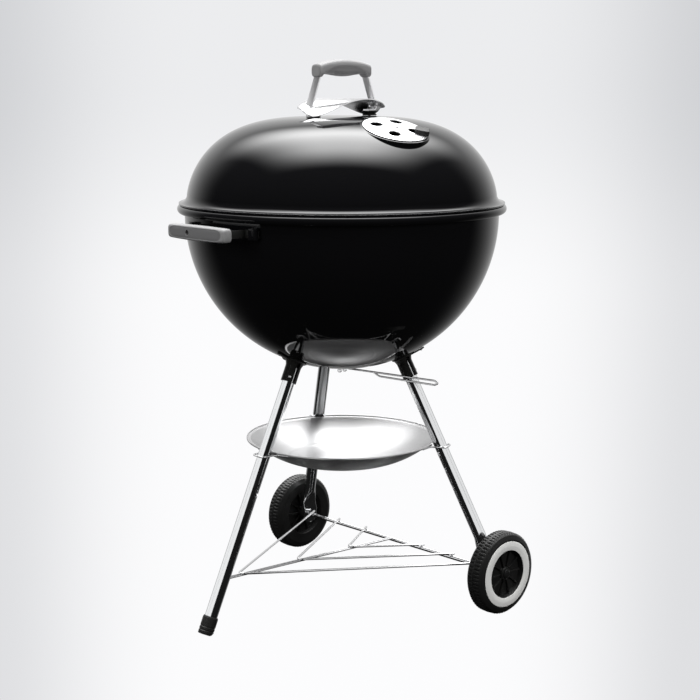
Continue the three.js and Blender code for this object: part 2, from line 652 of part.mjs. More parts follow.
function legRadiusAt(z) {
  return LEG_FLOOR_RADIUS - LEG_SLOPE * z;
}

// Distance up a leg's line from the floor to the shell of the given radius.
function legReach(radius) {
  const along = LEG_FLOOR_RADIUS * Math.sin(legTilt) + BOWL_CENTRE_Z * Math.cos(legTilt);
  const apartSquared = LEG_FLOOR_RADIUS ** 2 + BOWL_CENTRE_Z ** 2 - along ** 2;
  return along - Math.sqrt(radius ** 2 - apartSquared);
}

const legTop = legReach(BOWL_RADIUS + 4.5);
const socketBottom = legReach(BOWL_RADIUS + 2) - SOCKET_LENGTH;

function alongLeg(geometry, centre) {
  return solid(geometry.translate(0, 0, centre).applyMatrix4(legFrame()));
}

function tube(radius, from, to, sides) {
  return alongLeg(cylinder(radius, to - from, sides), (from + to) / 2);
}

// Rolled socket with an open seam; its top spreads into a foot and a tongue on the bowl.
function socket(seamAngle, buttonAngle) {
  const bore = LEG_DIAMETER / 2 + GAP;
  const top = legReach(BOWL_RADIUS + 1.6);
  const sleeve = tube(bore + SOCKET_WALL, socketBottom, top, 12).subtract(tube(bore, 0, top - 1.4, 12));
  const seam = alongLeg(box(20, 4.5, 200, 14, 0, 0).rotateZ(radians(seamAngle)), top - 102);
  const button = alongLeg(cylinder(3.2, 20, 10).rotateY(Math.PI / 2).translate(14, 0, 0)
    .rotateZ(radians(buttonAngle)), socketBottom + BUTTON_RISE);
  const pad = [...arc(2, 0, 20, 240, 120, 4), [10, 14], [36, 9], [42, 0], [36, -9], [10, -14]];
  const padPrism = alongLeg(raised(pad, -40, 30), top);
  const skin = bowlShell(BOWL_RADIUS + 0.5, BOWL_RADIUS + 2.7, 0, 4);
  return joined([sleeve.subtract(seam), skin.intersect(padPrism)]).subtract(button);
}

function snapButton(buttonAngle) {
  const stem = alongLeg(cylinder(2.8, SOCKET_WALL + 4, 10).rotateY(Math.PI / 2)
    .translate(LEG_DIAMETER / 2 + GAP + (SOCKET_WALL + 4) / 2 - 0.6, 0, 0)
    .rotateZ(radians(buttonAngle)), socketBottom + BUTTON_RISE);
  return stem.subtract(tube(LEG_DIAMETER / 2 + GAP, 0, legTop, 12));
}

function buildFootLeg() {
  const start = 17;
  const outer = tube(LEG_DIAMETER / 2, start, legTop, 12);
  const bore = tube(LEG_DIAMETER / 2 - LEG_WALL, 0, legTop + 20, 12);
  const rackZ = rackHeight(-LEG_FLOOR_RADIUS + 50) - RACK_WIRE / 2 - RACK_SPINE_WIRE / 2 + 0.5;
  const rackHole = solid(box(16, 11, RACK_SPINE_WIRE + 2, -(legRadiusAt(rackZ) - 12), 0, rackZ));
  add('leg_foot', around(outer.subtract(bore), FOOT_AZIMUTH).subtract(rackHole), POLISHED);

  const shell = tube(LEG_DIAMETER / 2 + 2.4, 3.2, 33, 16);
  const pocket = tube(LEG_DIAMETER / 2 + GAP, start - GAP, 60, 16);
  const floor = solid(box(200, 200, 40, LEG_FLOOR_RADIUS, 0, -20));
  add('foot_cap', around(shell.subtract(pocket).subtract(floor), FOOT_AZIMUTH), BLACK_PLASTIC);
}

// A wheel leg: round tube above, pressed flat below into an upright plate for the axle.
function wheelLeg(side) {
  const straight = 152;
  const azimuth = side * WHEEL_LEG_AZIMUTH;
  const outer = tube(LEG_DIAMETER / 2, straight, legTop, 12);
  const bore = tube(LEG_DIAMETER / 2 - LEG_WALL, straight + 4, legTop + 20, 12);
  const start = alongLeg(box(0.1, 0.1, 0.1), straight).boundingBox();
  const from = vec(start.max[0], 0, start.max[2]).applyAxisAngle(UP, radians(azimuth));
  const plateTop = vec(AXLE_X - 3, side * PLATE_Y, 104);
  const radius = LEG_DIAMETER / 2;
  const legUp = vec(-Math.sin(legTilt), 0, Math.cos(legTilt)).applyAxisAngle(UP, radians(azimuth));
  const roundHalf = vec(0, 1, 0).cross(legUp).normalize().multiplyScalar(radius);
  const flatHalf = vec(PLATE_WIDTH / 2, 0, 0);
  const stations = [0, 0.33, 0.67, 1].map((t) => {
    const ease = t * t * (3 - 2 * t);
    const centre = from.clone().lerp(plateTop, t);
    const half = roundHalf.clone().lerp(flatHalf, ease);
    const up = legUp.clone().lerp(UP, ease).normalize();
    const halfThick = radius + (PLATE_THICKNESS / 2 - radius) * ease;
    const thick = half.clone().normalize().cross(up).multiplyScalar(-halfThick);
    return { centre, half, thick, square: 1 };
  });
  const crush = solid(lofted(stations, 12));
  const outline = [...arc(0, AXLE_Z, PLATE_WIDTH / 2, 180, 360, 8), [PLATE_WIDTH / 2 - 3, 106],
    [3 - PLATE_WIDTH / 2, 106]];
  const plate = solid(raised(outline, -PLATE_THICKNESS / 2, PLATE_THICKNESS / 2).rotateX(Math.PI / 2)
    .translate(AXLE_X, side * PLATE_Y, 0));
  const axleHole = solid(rod(vec(AXLE_X, -400, AXLE_Z), vec(AXLE_X, 400, AXLE_Z),
    AXLE_DIAMETER + 2 * GAP, 12));
  return joined([around(outer.subtract(bore), azimuth), crush, plate]).subtract(axleHole);
}

function buildLegs() {
  buildFootLeg();
  add('leg_front', wheelLeg(-1), POLISHED);
  add('leg_rear', wheelLeg(1), POLISHED);
  const corners = [['foot', FOOT_AZIMUTH, 84, 47], ['front', -WHEEL_LEG_AZIMUTH, -38.5, 47],
    ['rear', WHEEL_LEG_AZIMUTH, 38.5, -47]];
  for (const [name, azimuth, seam, button] of corners) {
    add(`socket_${name}`, around(socket(seam, button), azimuth), BLACK_STEEL);
    add(`snap_button_${name}`, around(snapButton(button), azimuth), PLATED);
  }
}

// ---------------------------------------------------------------- ash pan
function panPoint(radius, inset) {
  return [radius, PAN_FLOOR_Z + inset + (PAN_RIM_Z - 3 - PAN_FLOOR_Z) * (radius / 172) ** 3];
}

function buildPan() {
  const radii = [0, 62, 98, 128, 152, 171];
  const outside = radii.map((radius) => panPoint(radius, 0));
  const inside = radii.map((radius) => panPoint(radius, PAN_SHEET)).reverse();
  const rimUnder = PAN_RIM_Z - 2;
  const profile = [...outside, [173, rimUnder - PAN_SHEET], [PAN_RADIUS - 1, rimUnder - PAN_SHEET],
    [PAN_RADIUS, rimUnder], [PAN_RADIUS, PAN_RIM_Z], [PAN_RADIUS - PAN_SHEET, PAN_RIM_Z],
    [PAN_RADIUS - PAN_SHEET - 0.6, rimUnder], [172, rimUnder], ...inside];
  const notch = tube(LEG_DIAMETER / 2 + 5, 200, 420, 14);
  const azimuths = [FOOT_AZIMUTH, WHEEL_LEG_AZIMUTH, -WHEEL_LEG_AZIMUTH];
  const notches = joined(azimuths.map((azimuth) => around(notch, azimuth)));
  add('ash_pan', solid(turned(profile)).subtract(notches), ALUMINIUM);

  const clipZ = PAN_RIM_Z - 2 - PAN_SHEET - GAP - CLIP_WIRE / 2 - 0.1;
  const legX = legRadiusAt(clipZ);
  const half = [vec(169.5, 42, clipZ), vec(176, 19, clipZ), vec(legX - 4, 15.5, clipZ),
    vec(legX + 15.5, 15.5, clipZ)];
  const mirrored = half.map(({ x, y, z }) => vec(x, -y, z)).reverse();
  const clip = solid(wire([...half, ...mirrored], CLIP_WIRE, 8, 6));
  [['foot', azimuths[0]], ['rear', azimuths[1]], ['front', azimuths[2]]].forEach(([name, azimuth]) => {
    add(`pan_clip_${name}`, around(clip, azimuth), PLATED);
  });
}

// ---------------------------------------------------------------- axle, rack and wheels
const rackEndX = AXLE_X + 5;
const rackEndZ = AXLE_Z + AXLE_DIAMETER / 2 + GAP + RACK_WIRE / 2;

function rackHeight(x) {
  return rackEndZ + (rackEndX - x) * RACK_RISE;
}

// Three nested V wires welded on a hairpin spine that plugs into the foot leg.
function buildRack() {
  const on = (x, y, drop = 0) => vec(x, y, rackHeight(x) - drop);
  const pieces = RACK_APEXES.map((apex, i) => solid(wire(
    [on(rackEndX, -RACK_ENDS[i]), on(apex, 0), on(rackEndX, RACK_ENDS[i])], RACK_WIRE, 8, 6)));
  const drop = (RACK_WIRE + RACK_SPINE_WIRE) / 2 - 0.5;
  const tipX = -(legRadiusAt(rackHeight(-280)) - 7);
  const endX = AXLE_X - AXLE_DIAMETER / 2 - GAP - 0.4;
  pieces.push(solid(wire([on(endX, -3, drop), on(tipX, -3, drop), on(tipX, 3, drop), on(endX, 3, drop)],
    RACK_SPINE_WIRE, 2.6, 6)));
  add('wire_rack', joined(pieces), PLATED);
}

function buildWheels() {
  const half = WHEEL_WIDTH / 2;
  const hubIn = -(WHEEL_Y - PLATE_Y - PLATE_THICKNESS / 2 - 1);
  const bore = AXLE_DIAMETER / 2 + GAP;
  const outline = [[bore, hubIn], [10, hubIn], [11, -half + 12], [42, -half + 12], [46, -half + 2],
    [64, -half], [72.5, -half + 3], [WHEEL_RADIUS, -half + 9], [WHEEL_RADIUS, half - 9], [72.5, half - 3],
    [65, half], [61.4, half], [61.4, half - 1.6], [44.2, half - 1.6], [42, half - 11], [13, half - 8],
    [11, half - 3], [bore, half - 3]];
  const rib = solid(box(33, 2.4, 9, 27, 0, half - 9));
  const ribs = joined(Array.from({ length: 10 }, (_, i) => around(rib, 36 * i)));
  const wheel = solid(ring(outline, 20)).add(ribs);
  const white = solid(ring([[44.5, half - 1.3], [61.1, half - 1.3], [61.1, half + 0.4],
    [44.5, half + 0.4]], 20));
  const cap = solid(turned(capProfile(half), 10));
  [['front', -1], ['rear', 1]].forEach(([name, side]) => {
    const frame = new THREE.Matrix4().makeTranslation(AXLE_X, side * WHEEL_Y, AXLE_Z)
      .multiply(new THREE.Matrix4().makeRotationX(-side * Math.PI / 2));
    add(`wheel_${name}`, placed(wheel, frame), BLACK_PLASTIC);
    add(`wheel_ring_${name}`, placed(white, frame), WHITE_PLASTIC);
    add(`hub_cap_${name}`, placed(cap, frame), BLACK_PLASTIC);
  });
  const axleEnd = WHEEL_Y + half - 0.6;
  add('axle', solid(rod(vec(AXLE_X, -axleEnd, AXLE_Z), vec(AXLE_X, axleEnd, AXLE_Z),
    AXLE_DIAMETER, 12)), PLATED);
}

// Push-on cap over the axle's end.
function capProfile(face) {
  const bore = AXLE_DIAMETER / 2 + GAP;
  return [[0, face - 0.2], [bore, face - 0.2], [bore, face - 2.6], [8.5, face - 2.6], [8.5, face - 1],
    [5, face + 1], [0, face + 1.4]];
}

buildBowl();
buildGrateBrackets();
buildGrates();
buildSweep();
buildLid();
buildVent();
buildLidHandle();
buildHeatShield();
buildLidHook();
buildSideHandles();
buildLegs();
buildPan();
buildRack();
buildWheels();

export default grill;
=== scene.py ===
import bmesh
import bpy
import numpy as np
from mathutils import Matrix, Vector


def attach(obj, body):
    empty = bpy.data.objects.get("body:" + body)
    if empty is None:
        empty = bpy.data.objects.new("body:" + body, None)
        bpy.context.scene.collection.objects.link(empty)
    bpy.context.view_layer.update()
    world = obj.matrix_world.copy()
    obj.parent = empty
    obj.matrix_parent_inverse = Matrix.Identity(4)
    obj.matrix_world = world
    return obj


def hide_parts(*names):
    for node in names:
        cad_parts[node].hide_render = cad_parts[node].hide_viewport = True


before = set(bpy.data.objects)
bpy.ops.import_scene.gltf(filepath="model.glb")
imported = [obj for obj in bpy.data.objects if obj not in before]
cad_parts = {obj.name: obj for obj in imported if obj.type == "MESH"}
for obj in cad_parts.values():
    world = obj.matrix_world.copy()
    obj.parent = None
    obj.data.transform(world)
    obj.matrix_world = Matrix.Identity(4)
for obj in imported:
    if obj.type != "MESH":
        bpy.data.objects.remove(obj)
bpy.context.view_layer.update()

scene = bpy.context.scene

# ---------------------------------------------------------------- bowl
# The bowl is one deep steel pressing with a flat floor, dipped and fired in black porcelain enamel.
# Its edge is rolled outwards and down into a hollow bead that the lid sits on, and three slots
# through the floor let air in and ash out.
SHEET = 0.0025
BOWL_RADIUS = 0.287
BOWL_CENTRE = 0.727
FLOOR_ANGLE = 12.7
RIM_TOP = 0.745
ROLL = 0.008
SLOT_AZIMUTHS = (30, 150, 270)


class Value:
    """One output of a node: + - * and / on it add Math nodes, and numbers stay numbers."""

    def __init__(self, finish, socket):
        self.finish = finish
        self.socket = socket

    def maths(self, operation, first, second=0.0):
        return self.finish.node("Math", {"operation": operation}, {0: first, 1: second})

    def __add__(self, other):
        return self.maths("ADD", self, other)

    __radd__ = __add__

    def __sub__(self, other):
        return self.maths("SUBTRACT", self, other)

    def __mul__(self, other):
        return self.maths("MULTIPLY", self, other)

    __rmul__ = __mul__

    def __truediv__(self, other):
        return self.maths("DIVIDE", self, other)

    def rising(self, low, high):
        """0 below low, 1 above high, and smooth between."""
        return self.finish.node("MapRange", {"interpolation_type": "SMOOTHSTEP"},
                                {0: self, 1: low, 2: high})


class Finish:
    """A material, with its record slot kept but not used. Its shader takes constants on its sockets, or
    Values.
    """

    def __init__(self, slot, name, **sockets):
        self.slot = slot
        self.material = bpy.data.materials.new(name)
        self.material.use_nodes = True
        self.nodes = self.material.node_tree.nodes
        self.shader = self.nodes["Principled BSDF"]
        self.place = self.node("TexCoord", output="Object")
        self.uv = self.node("UVMap", {"uv_map": "UVMap"})
        self.set(**sockets)

    def put(self, socket, value):
        if isinstance(value, Value):
            self.material.node_tree.links.new(value.socket, socket)
        else:
            socket.default_value = value

    def node(self, kind, settings=(), sockets=(), output=0):
        made = self.nodes.new("ShaderNode" + kind)
        for setting, value in dict(settings).items():
            setattr(made, setting, value)
        for socket, value in dict(sockets).items():
            self.put(made.inputs[socket], value)
        return Value(self, made.outputs[output])

    def set(self, **sockets):
        for socket, value in sockets.items():
            self.put(self.shader.inputs[socket.replace("_", " ")], value)

    def noise(self, scale, detail=3.0, where=None):
        return self.node("TexNoise", (), {"Vector": where or self.place, "Scale": scale, "Detail": detail})

    def streaks(self, across, along, detail=3.0):
        """Noise on the piece's own UV, which counts once across it and in metres along it."""
        drawn = self.node("VectorMath", {"operation": "MULTIPLY"}, {0: self.uv, 1: (across, along, 1.0)})
        return self.noise(1.0, detail, drawn)

    def mixed(self, share, first, second):
        """A colour that goes from first to second as share goes from 0 to 1."""
        return self.node("Mix", {"data_type": "RGBA"}, {0: share, 6: (*first, 1.0), 7: (*second, 1.0)}, 2)

    def relief(self, height, depth):
        """Stands the surface up by height times depth, in metres."""
        bump = self.node("Bump", (), {"Height": height, "Distance": depth, "Strength": 1.0})
        self.set(Normal=bump)


def grid(points, wrap_rows=False, wrap_columns=False, shade_mask=None):
    """Rows and columns of points, with a quad from each to the next both ways. UV is the share of
    the way across the columns, and the mean distance in metres along the rows."""
    rows, columns = points.shape[:2]
    number = np.arange(rows * columns).reshape(rows, columns)
    following = np.roll(points, -1, axis=0)
    steps = np.linalg.norm(following - points, axis=2).mean(axis=1)
    along = np.concatenate([[0.0], np.cumsum(steps)])[:rows + wrap_rows]
    if wrap_rows:
        number = np.vstack([number, number[:1]])
    if wrap_columns:
        number = np.hstack([number, number[:, :1]])
    across = np.linspace(0.0, 1.0, number.shape[1])
    uv = np.stack(np.broadcast_arrays(across[None, :], along[:, None]), axis=-1)

    def corners(field):
        return np.stack([field[:-1, :-1], field[1:, :-1], field[1:, 1:], field[:-1, 1:]], axis=2)

    return {"points": points.reshape(-1, 3), "quads": corners(number).reshape(-1, 4),
            "uv": corners(uv).reshape(-1, 2),
            "shade_mask": np.zeros(rows * columns) if shade_mask is None else shade_mask.reshape(-1)}


def meshed(name, grids):
    """One mesh of several grids: points that coincide are merged, which closes seams and poles, and
    the faces are turned outwards."""
    starts = np.cumsum([0] + [len(part["points"]) for part in grids])
    points = np.vstack([part["points"] for part in grids])
    quads = np.vstack([part["quads"] + start for part, start in zip(grids, starts)])
    mesh = bpy.data.meshes.new(name)
    mesh.from_pydata(points.tolist(), [], quads.tolist())
    uv = np.vstack([part["uv"] for part in grids])
    mesh.uv_layers.new(name="UVMap").data.foreach_set("uv", uv.ravel())
    shade_mask = np.concatenate([part["shade_mask"] for part in grids])
    if shade_mask.any():
        mesh.attributes.new("shade_mask", "FLOAT", "POINT").data.foreach_set("value", shade_mask)
    shape = bmesh.new()
    shape.from_mesh(mesh)
    bmesh.ops.remove_doubles(shape, verts=shape.verts, dist=2e-6)
    bmesh.ops.recalc_face_normals(shape, faces=shape.faces)
    shape.to_mesh(mesh)
    shape.free()
    return mesh


def piece(name, grids, finish, body, nodes, cutters=(), sharp=35):
    """Makes a piece of grids, takes the closed shapes in cutters out of it, gives it its finish and
    its body, and hides the CAD nodes that it stands for."""
    made = bpy.data.objects.new(name, meshed(name, grids))
    scene.collection.objects.link(made)
    if cutters:
        cutter = bpy.data.objects.new("cutter", meshed("cutter", cutters))
        scene.collection.objects.link(cutter)
        made.modifiers.new("cut", "BOOLEAN").object = cutter
        bpy.context.view_layer.update()
        seen = made.evaluated_get(bpy.context.evaluated_depsgraph_get())
        cut_mesh = bpy.data.meshes.new_from_object(seen)
        made.modifiers.clear()
        made.data = cut_mesh
        bpy.data.objects.remove(cutter)
    made.data.shade_smooth()
    made.data.set_sharp_from_angle(angle=np.radians(sharp))
    made.data.materials.clear()
    made.data.materials.append(finish.material)
    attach(made, body)
    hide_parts(*nodes)
    return made


def arc(x, y, radius, first, last, count=12):
    """Points at radius from (x, y), from one angle in degrees to another."""
    angle = np.radians(np.linspace(first, last, count))
    return np.stack([x + radius * np.cos(angle), y + radius * np.sin(angle)], axis=1)


def turned(profile, columns=160, closed=False):
    """A profile of (radius, height) carried round Z: radius times cos and sin, at its height."""
    angle = np.linspace(0, 2 * np.pi, columns, endpoint=False)
    radius, height = np.asarray(profile, float).T[:, :, None]
    points = np.stack(np.broadcast_arrays(radius * np.cos(angle), radius * np.sin(angle), height), axis=-1)
    return grid(points, wrap_rows=closed, wrap_columns=True)


def placed(part, matrix):
    """A grid moved by a matrix: its points times the turn, plus the shift."""
    turn = np.array(matrix.to_3x3())
    return {**part, "points": part["points"] @ turn.T + np.array(matrix.translation)}


def turn_z(degrees):
    return Matrix.Rotation(np.radians(degrees), 4, "Z")


def block(outline, low, high, edge=0.0):
    """An outline raised from low to high. Its edges are quarter rounds: the outline is drawn in by
    edge times 1 - sin while the height goes in by edge times 1 - cos."""
    outline = np.asarray(outline, float)
    bend = np.linspace(0, np.pi / 2, 5 if edge else 1)
    inset = edge * (1 - np.sin(bend)) if edge else np.zeros(1)
    rise = edge * (1 - np.cos(bend)) if edge else np.zeros(1)
    insets = np.concatenate([inset, inset[::-1]])
    heights = np.concatenate([low + rise, (high - rise)[::-1]])
    along = np.roll(outline, -1, axis=0) - np.roll(outline, 1, axis=0)
    normal = np.stack([along[:, 1], -along[:, 0]], axis=1) / np.linalg.norm(along, axis=1)[:, None]
    rings = outline[None] - insets[:, None, None] * normal[None]
    middle = outline.mean(axis=0)
    rings = np.concatenate([np.broadcast_to(middle, (1, *outline.shape)), rings,
                            np.broadcast_to(middle, (1, *outline.shape))])
    heights = np.concatenate([[low], heights, [high]])
    level = np.broadcast_to(heights[:, None, None], (*rings.shape[:2], 1))
    return grid(np.concatenate([rings, level], axis=2), wrap_columns=True)


enamel = Finish("black_enamel", "black porcelain enamel", Base_Color=(0.004, 0.004, 0.0045, 1.0),
                Specular_IOR_Level=0.5, IOR=1.52)
enamel_cloud = enamel.noise(9.0, 2.0)
enamel.set(Roughness=0.02 + 0.03 * enamel_cloud)
enamel.relief(enamel.noise(160.0, 2.0) + 0.25 * enamel.noise(900.0, 1.0), 0.000012)

bowl_inside = BOWL_RADIUS - SHEET
floor_from = FLOOR_ANGLE - 90
roll_centre = (bowl_inside + ROLL, RIM_TOP - ROLL)
bowl_outer = arc(0, BOWL_CENTRE, BOWL_RADIUS, floor_from, 0, 72)
bowl_inner = arc(0, BOWL_CENTRE, bowl_inside, 0, floor_from, 72)
bowl_profile = np.vstack([
    [[0, bowl_outer[0, 1]]], bowl_outer,
    arc(*roll_centre, ROLL - SHEET, 180, -60, 26), arc(*roll_centre, ROLL, -60, 180, 34),
    bowl_inner, [[0, bowl_inner[-1, 1]]]])
floor_slot = np.vstack([arc(0.100, 0, 0.015, -90, 90, 9), arc(0.046, 0, 0.009, 90, 270, 9)])
slot_cutters = [placed(block(floor_slot, 0.40, 0.52), turn_z(azimuth)) for azimuth in SLOT_AZIMUTHS]
hub_hole = block(arc(0, 0, 0.012, 0, 348.75, 32), 0.40, 0.50)
piece("bowl_shell", [turned(bowl_profile, 224)], enamel, "base", ["bowl"], slot_cutters + [hub_hole])

# ---------------------------------------------------------------- grate brackets
# Four bent straps are welded inside the wall. Each is one strip of plated steel, turned inwards at
# the top for the cooking grate and at the bottom for the charcoal grate.
COOKING_LEDGE = 0.712
CHARCOAL_LEDGE = 0.549


def bar_section(width, thickness, edge=0.0006):
    """A flat bar's section: a rectangle whose corners are quarter circles."""
    x, y = width / 2 - edge, thickness / 2 - edge
    return np.vstack([arc(x, -y, edge, -90, 0, 4), arc(x, y, edge, 0, 90, 4),
                      arc(-x, y, edge, 90, 180, 4), arc(-x, -y, edge, 180, 270, 4)])


def carried(section, path, across, edge=0.0004, closed=False):
    """A section carried along a path: point + x side + y up. Side is across made square to the path,
    and up is square to both. Open ends are closed flat, with a small edge taken off."""
    path = np.asarray(path, float)
    following = np.roll(path, -1, axis=0) - path
    following = following if closed else following[:-1]
    following = following / np.linalg.norm(following, axis=1)[:, None]
    if closed:
        tangent = following + np.roll(following, 1, axis=0)
    else:
        tangent = np.vstack([following[:1], following[:-1] + following[1:], following[-1:]])
    tangent = tangent / np.linalg.norm(tangent, axis=1)[:, None]
    across = np.asarray(across, float)
    side = across - (tangent @ across)[:, None] * tangent
    side = side / np.linalg.norm(side, axis=1)[:, None]
    up = np.cross(tangent, side)
    section = np.broadcast_to(section, (len(path), *np.shape(section)[-2:]))
    points = path[:, None] + section[..., :1] * side[:, None] + section[..., 1:] * up[:, None]
    if closed:
        return grid(points, wrap_rows=True, wrap_columns=True)
    size = np.abs(section).max()
    shut = []
    for end, way in ((0, -tangent[0]), (-1, tangent[-1])):
        middle = np.broadcast_to(path[end], points[end].shape)
        small = middle + (points[end] - middle) * (1 - edge / size)
        shut.append((middle, small))
        points[end] = points[end] - way * edge
    return grid(np.concatenate([shut[0][0][None], shut[0][1][None], points,
                                shut[1][1][None], shut[1][0][None]]), wrap_columns=True)


def rounded(corners, radius, count=9):
    """A path whose inner corners are arcs: each starts radius times tan of half the turn before the
    corner, about a centre on the corner's bisector."""
    corners = np.asarray(corners, float)
    path = [corners[:1]]
    for before, corner, after in zip(corners, corners[1:], corners[2:]):
        into, out = corner - before, after - corner
        room = 0.49 * min(np.linalg.norm(into), np.linalg.norm(out))
        into, out = into / np.linalg.norm(into), out / np.linalg.norm(out)
        half_turn = np.arccos(np.clip(into @ out, -1, 1)) / 2
        if half_turn < 0.01:
            path.append(corner[None])
            continue
        back = min(radius * np.tan(half_turn), room)
        bend = back / np.tan(half_turn)
        inward = (out - into) / np.linalg.norm(out - into)
        centre = corner + inward * bend / np.cos(half_turn)
        start = corner - into * back - centre
        angle = np.linspace(0, 2 * half_turn, count)[:, None]
        path.append(centre + start * np.cos(angle) + into * bend * np.sin(angle))
    return np.vstack([*path, corners[-1:]])


plated = Finish("plated_steel", "nickel plated steel", Base_Color=(0.62, 0.62, 0.63, 1.0), Metallic=1.0)
plated_draw = plated.streaks(30.0, 60.0)
plated.set(Roughness=0.14 + 0.16 * plated_draw)
plated_cloud = plated.noise(60.0).rising(0.35, 0.7)
plated.set(Base_Color=plated.mixed(plated_cloud, (0.66, 0.66, 0.67), (0.54, 0.54, 0.55)))
plated.relief(plated_draw, 0.00002)

wall = BOWL_RADIUS - SHEET - 0.0015
ledge_angle = np.degrees(np.arcsin((CHARCOAL_LEDGE - 0.0012 - BOWL_CENTRE) / wall))
bracket_path = np.vstack([
    [[0.258, COOKING_LEDGE - 0.0012]],
    arc(0, BOWL_CENTRE, wall, -3.3, ledge_angle, 24),
    [[0.196, CHARCOAL_LEDGE - 0.0012]]])
bracket_path = np.insert(bracket_path, 1, 0.0, axis=1)
bracket_strip = carried(bar_section(0.020, 0.0018), bracket_path, (0, 1, 0))
for count in range(4):
    piece(f"grate_strap_{count + 1}", [placed(bracket_strip, turn_z(45 + 90 * count))], plated, "base",
          [f"grate_bracket_{count + 1}"])

# ---------------------------------------------------------------- cooking and charcoal grates
# Both grates are round rods laid side by side and welded on a hoop, with two cross rods below. The
# cooking grate is plated and has two bent lifting handles; the charcoal grate is heavier rod.


def circle(diameter, count=14):
    return arc(0, 0, diameter / 2, 0, 360 - 360 / count, count)


def wire(corners, diameter, bend=0.005, across=(0, 0, 1), count=14):
    """A round wire: a circle carried along a path with bent corners."""
    return carried(circle(diameter, count), rounded(corners, bend), across)


def hoop(radius, height, diameter, count=14):
    """A closed ring of wire: a circle carried round Z."""
    return turned(circle(diameter, count) + [radius, height], 144, closed=True)


def grate(radius, hoop_wire, rod, count, ledge, cross_at):
    """Rods at equal spacing, each as long as the hoop is wide there: the square root of the hoop's
    radius squared less the rod's own distance squared."""
    middle = radius - hoop_wire / 2
    level = ledge + 0.0003 + hoop_wire / 2
    top = level + (hoop_wire + rod) / 2 - 0.0008
    spacing = 2 * middle / (count + 0.7)
    parts = [hoop(middle, level, hoop_wire)]
    for y in (np.arange(count) - (count - 1) / 2) * spacing:
        reach = np.sqrt(middle ** 2 - y ** 2) - 0.0006
        parts.append(wire([(-reach, y, top), (reach, y, top)], rod, count=10))
    for x in (-cross_at, cross_at):
        reach = np.sqrt(middle ** 2 - x ** 2)
        parts.append(wire([(x, -reach, level), (x, reach, level)], hoop_wire - 0.002, count=10))
    return parts, middle, level


cooking, hoop_at, hoop_level = grate(0.273, 0.006, 0.0044, 27, COOKING_LEDGE, 0.090)
for side in (-1, 1):
    foot = side * np.sqrt(hoop_at ** 2 - 0.042 ** 2)
    cooking.append(wire([(foot, -0.042, hoop_level), (side * 0.256, -0.042, hoop_level + 0.022),
                         (side * 0.256, 0.042, hoop_level + 0.022), (foot, 0.042, hoop_level)],
                        0.005, 0.008, (1, 0, 0.2)))
piece("cooking_grate_rods", cooking, plated, "cooking_grate", ["cooking_grate"])
piece("charcoal_grate_rods", grate(0.216, 0.007, 0.006, 13, CHARCOAL_LEDGE, 0.075)[0], plated,
      "charcoal_grate", ["charcoal_grate"])

# ---------------------------------------------------------------- ash sweep
# Three blades pressed to the floor's curve sweep ash down through the slots. They are fixed by two
# studs to a hub, and a lever of bent wire welded on a plate under the bowl turns them.
HUB_RADIUS = 0.0115
STUD_X = 0.0064
LEVER_AZIMUTH = -71
LEVER_REACH = 0.199
LEVER_WIRE = 0.0036
sweep_radius = BOWL_RADIUS - SHEET - 0.0006


def floor_height(distance, radius):
    """The height of a sheet that follows the bowl: its centre less the root of radius squared less
    distance squared, and flat inside the floor's edge."""
    edge = radius * np.sin(np.radians(FLOOR_ANGLE))
    return BOWL_CENTRE - np.sqrt(radius ** 2 - np.maximum(distance, edge) ** 2)


def blade(azimuth):
    """A blade: its half width grows from the hub to the tip, and both faces follow the floor."""
    reach = np.linspace(0.0, 0.126, 40)
    half = np.interp(reach, [0, 0.040, 0.118, 0.126], [0.009, 0.013, 0.022, 0.012])
    share = np.concatenate([np.linspace(-1, 1, 13), np.linspace(1, -1, 13)])
    inset = np.concatenate([np.zeros(13), np.full(13, 0.0016)])
    x = reach[:, None] + 0 * share
    y = half[:, None] * share
    z = floor_height(np.hypot(x, y), sweep_radius - inset[None, :])
    points = np.stack([x, y, z], axis=-1)
    ends = [np.broadcast_to(row.mean(axis=0), row.shape)[None] for row in (points[0], points[-1])]
    return placed(grid(np.concatenate([ends[0], points, ends[1]]), wrap_columns=True), turn_z(azimuth))


under_sweep = floor_height(0, sweep_radius)
over_sweep = under_sweep + 0.0016
bowl_floor = floor_height(0, BOWL_RADIUS)
sweep_disc = block(arc(0, 0, 0.020, 0, 351, 40), under_sweep + 0.00002, over_sweep + 0.0001, 0.0004)
piece("sweep_blade_set", [blade(azimuth - 60) for azimuth in SLOT_AZIMUTHS] + [sweep_disc], plated,
      "ash_sweep", ["sweep_blades"])
hub_top = under_sweep - 0.0003
hub_foot = bowl_floor - 0.0035
hub_profile = rounded([[0, hub_foot - 0.0027], [0.016, hub_foot - 0.0027], [0.016, hub_foot + 0.0003],
                       [HUB_RADIUS, hub_foot + 0.0003], [HUB_RADIUS, hub_top], [0, hub_top]], 0.0006)
piece("sweep_hub_turned", [turned(hub_profile, 64)], plated, "ash_sweep", ["sweep_hub"])

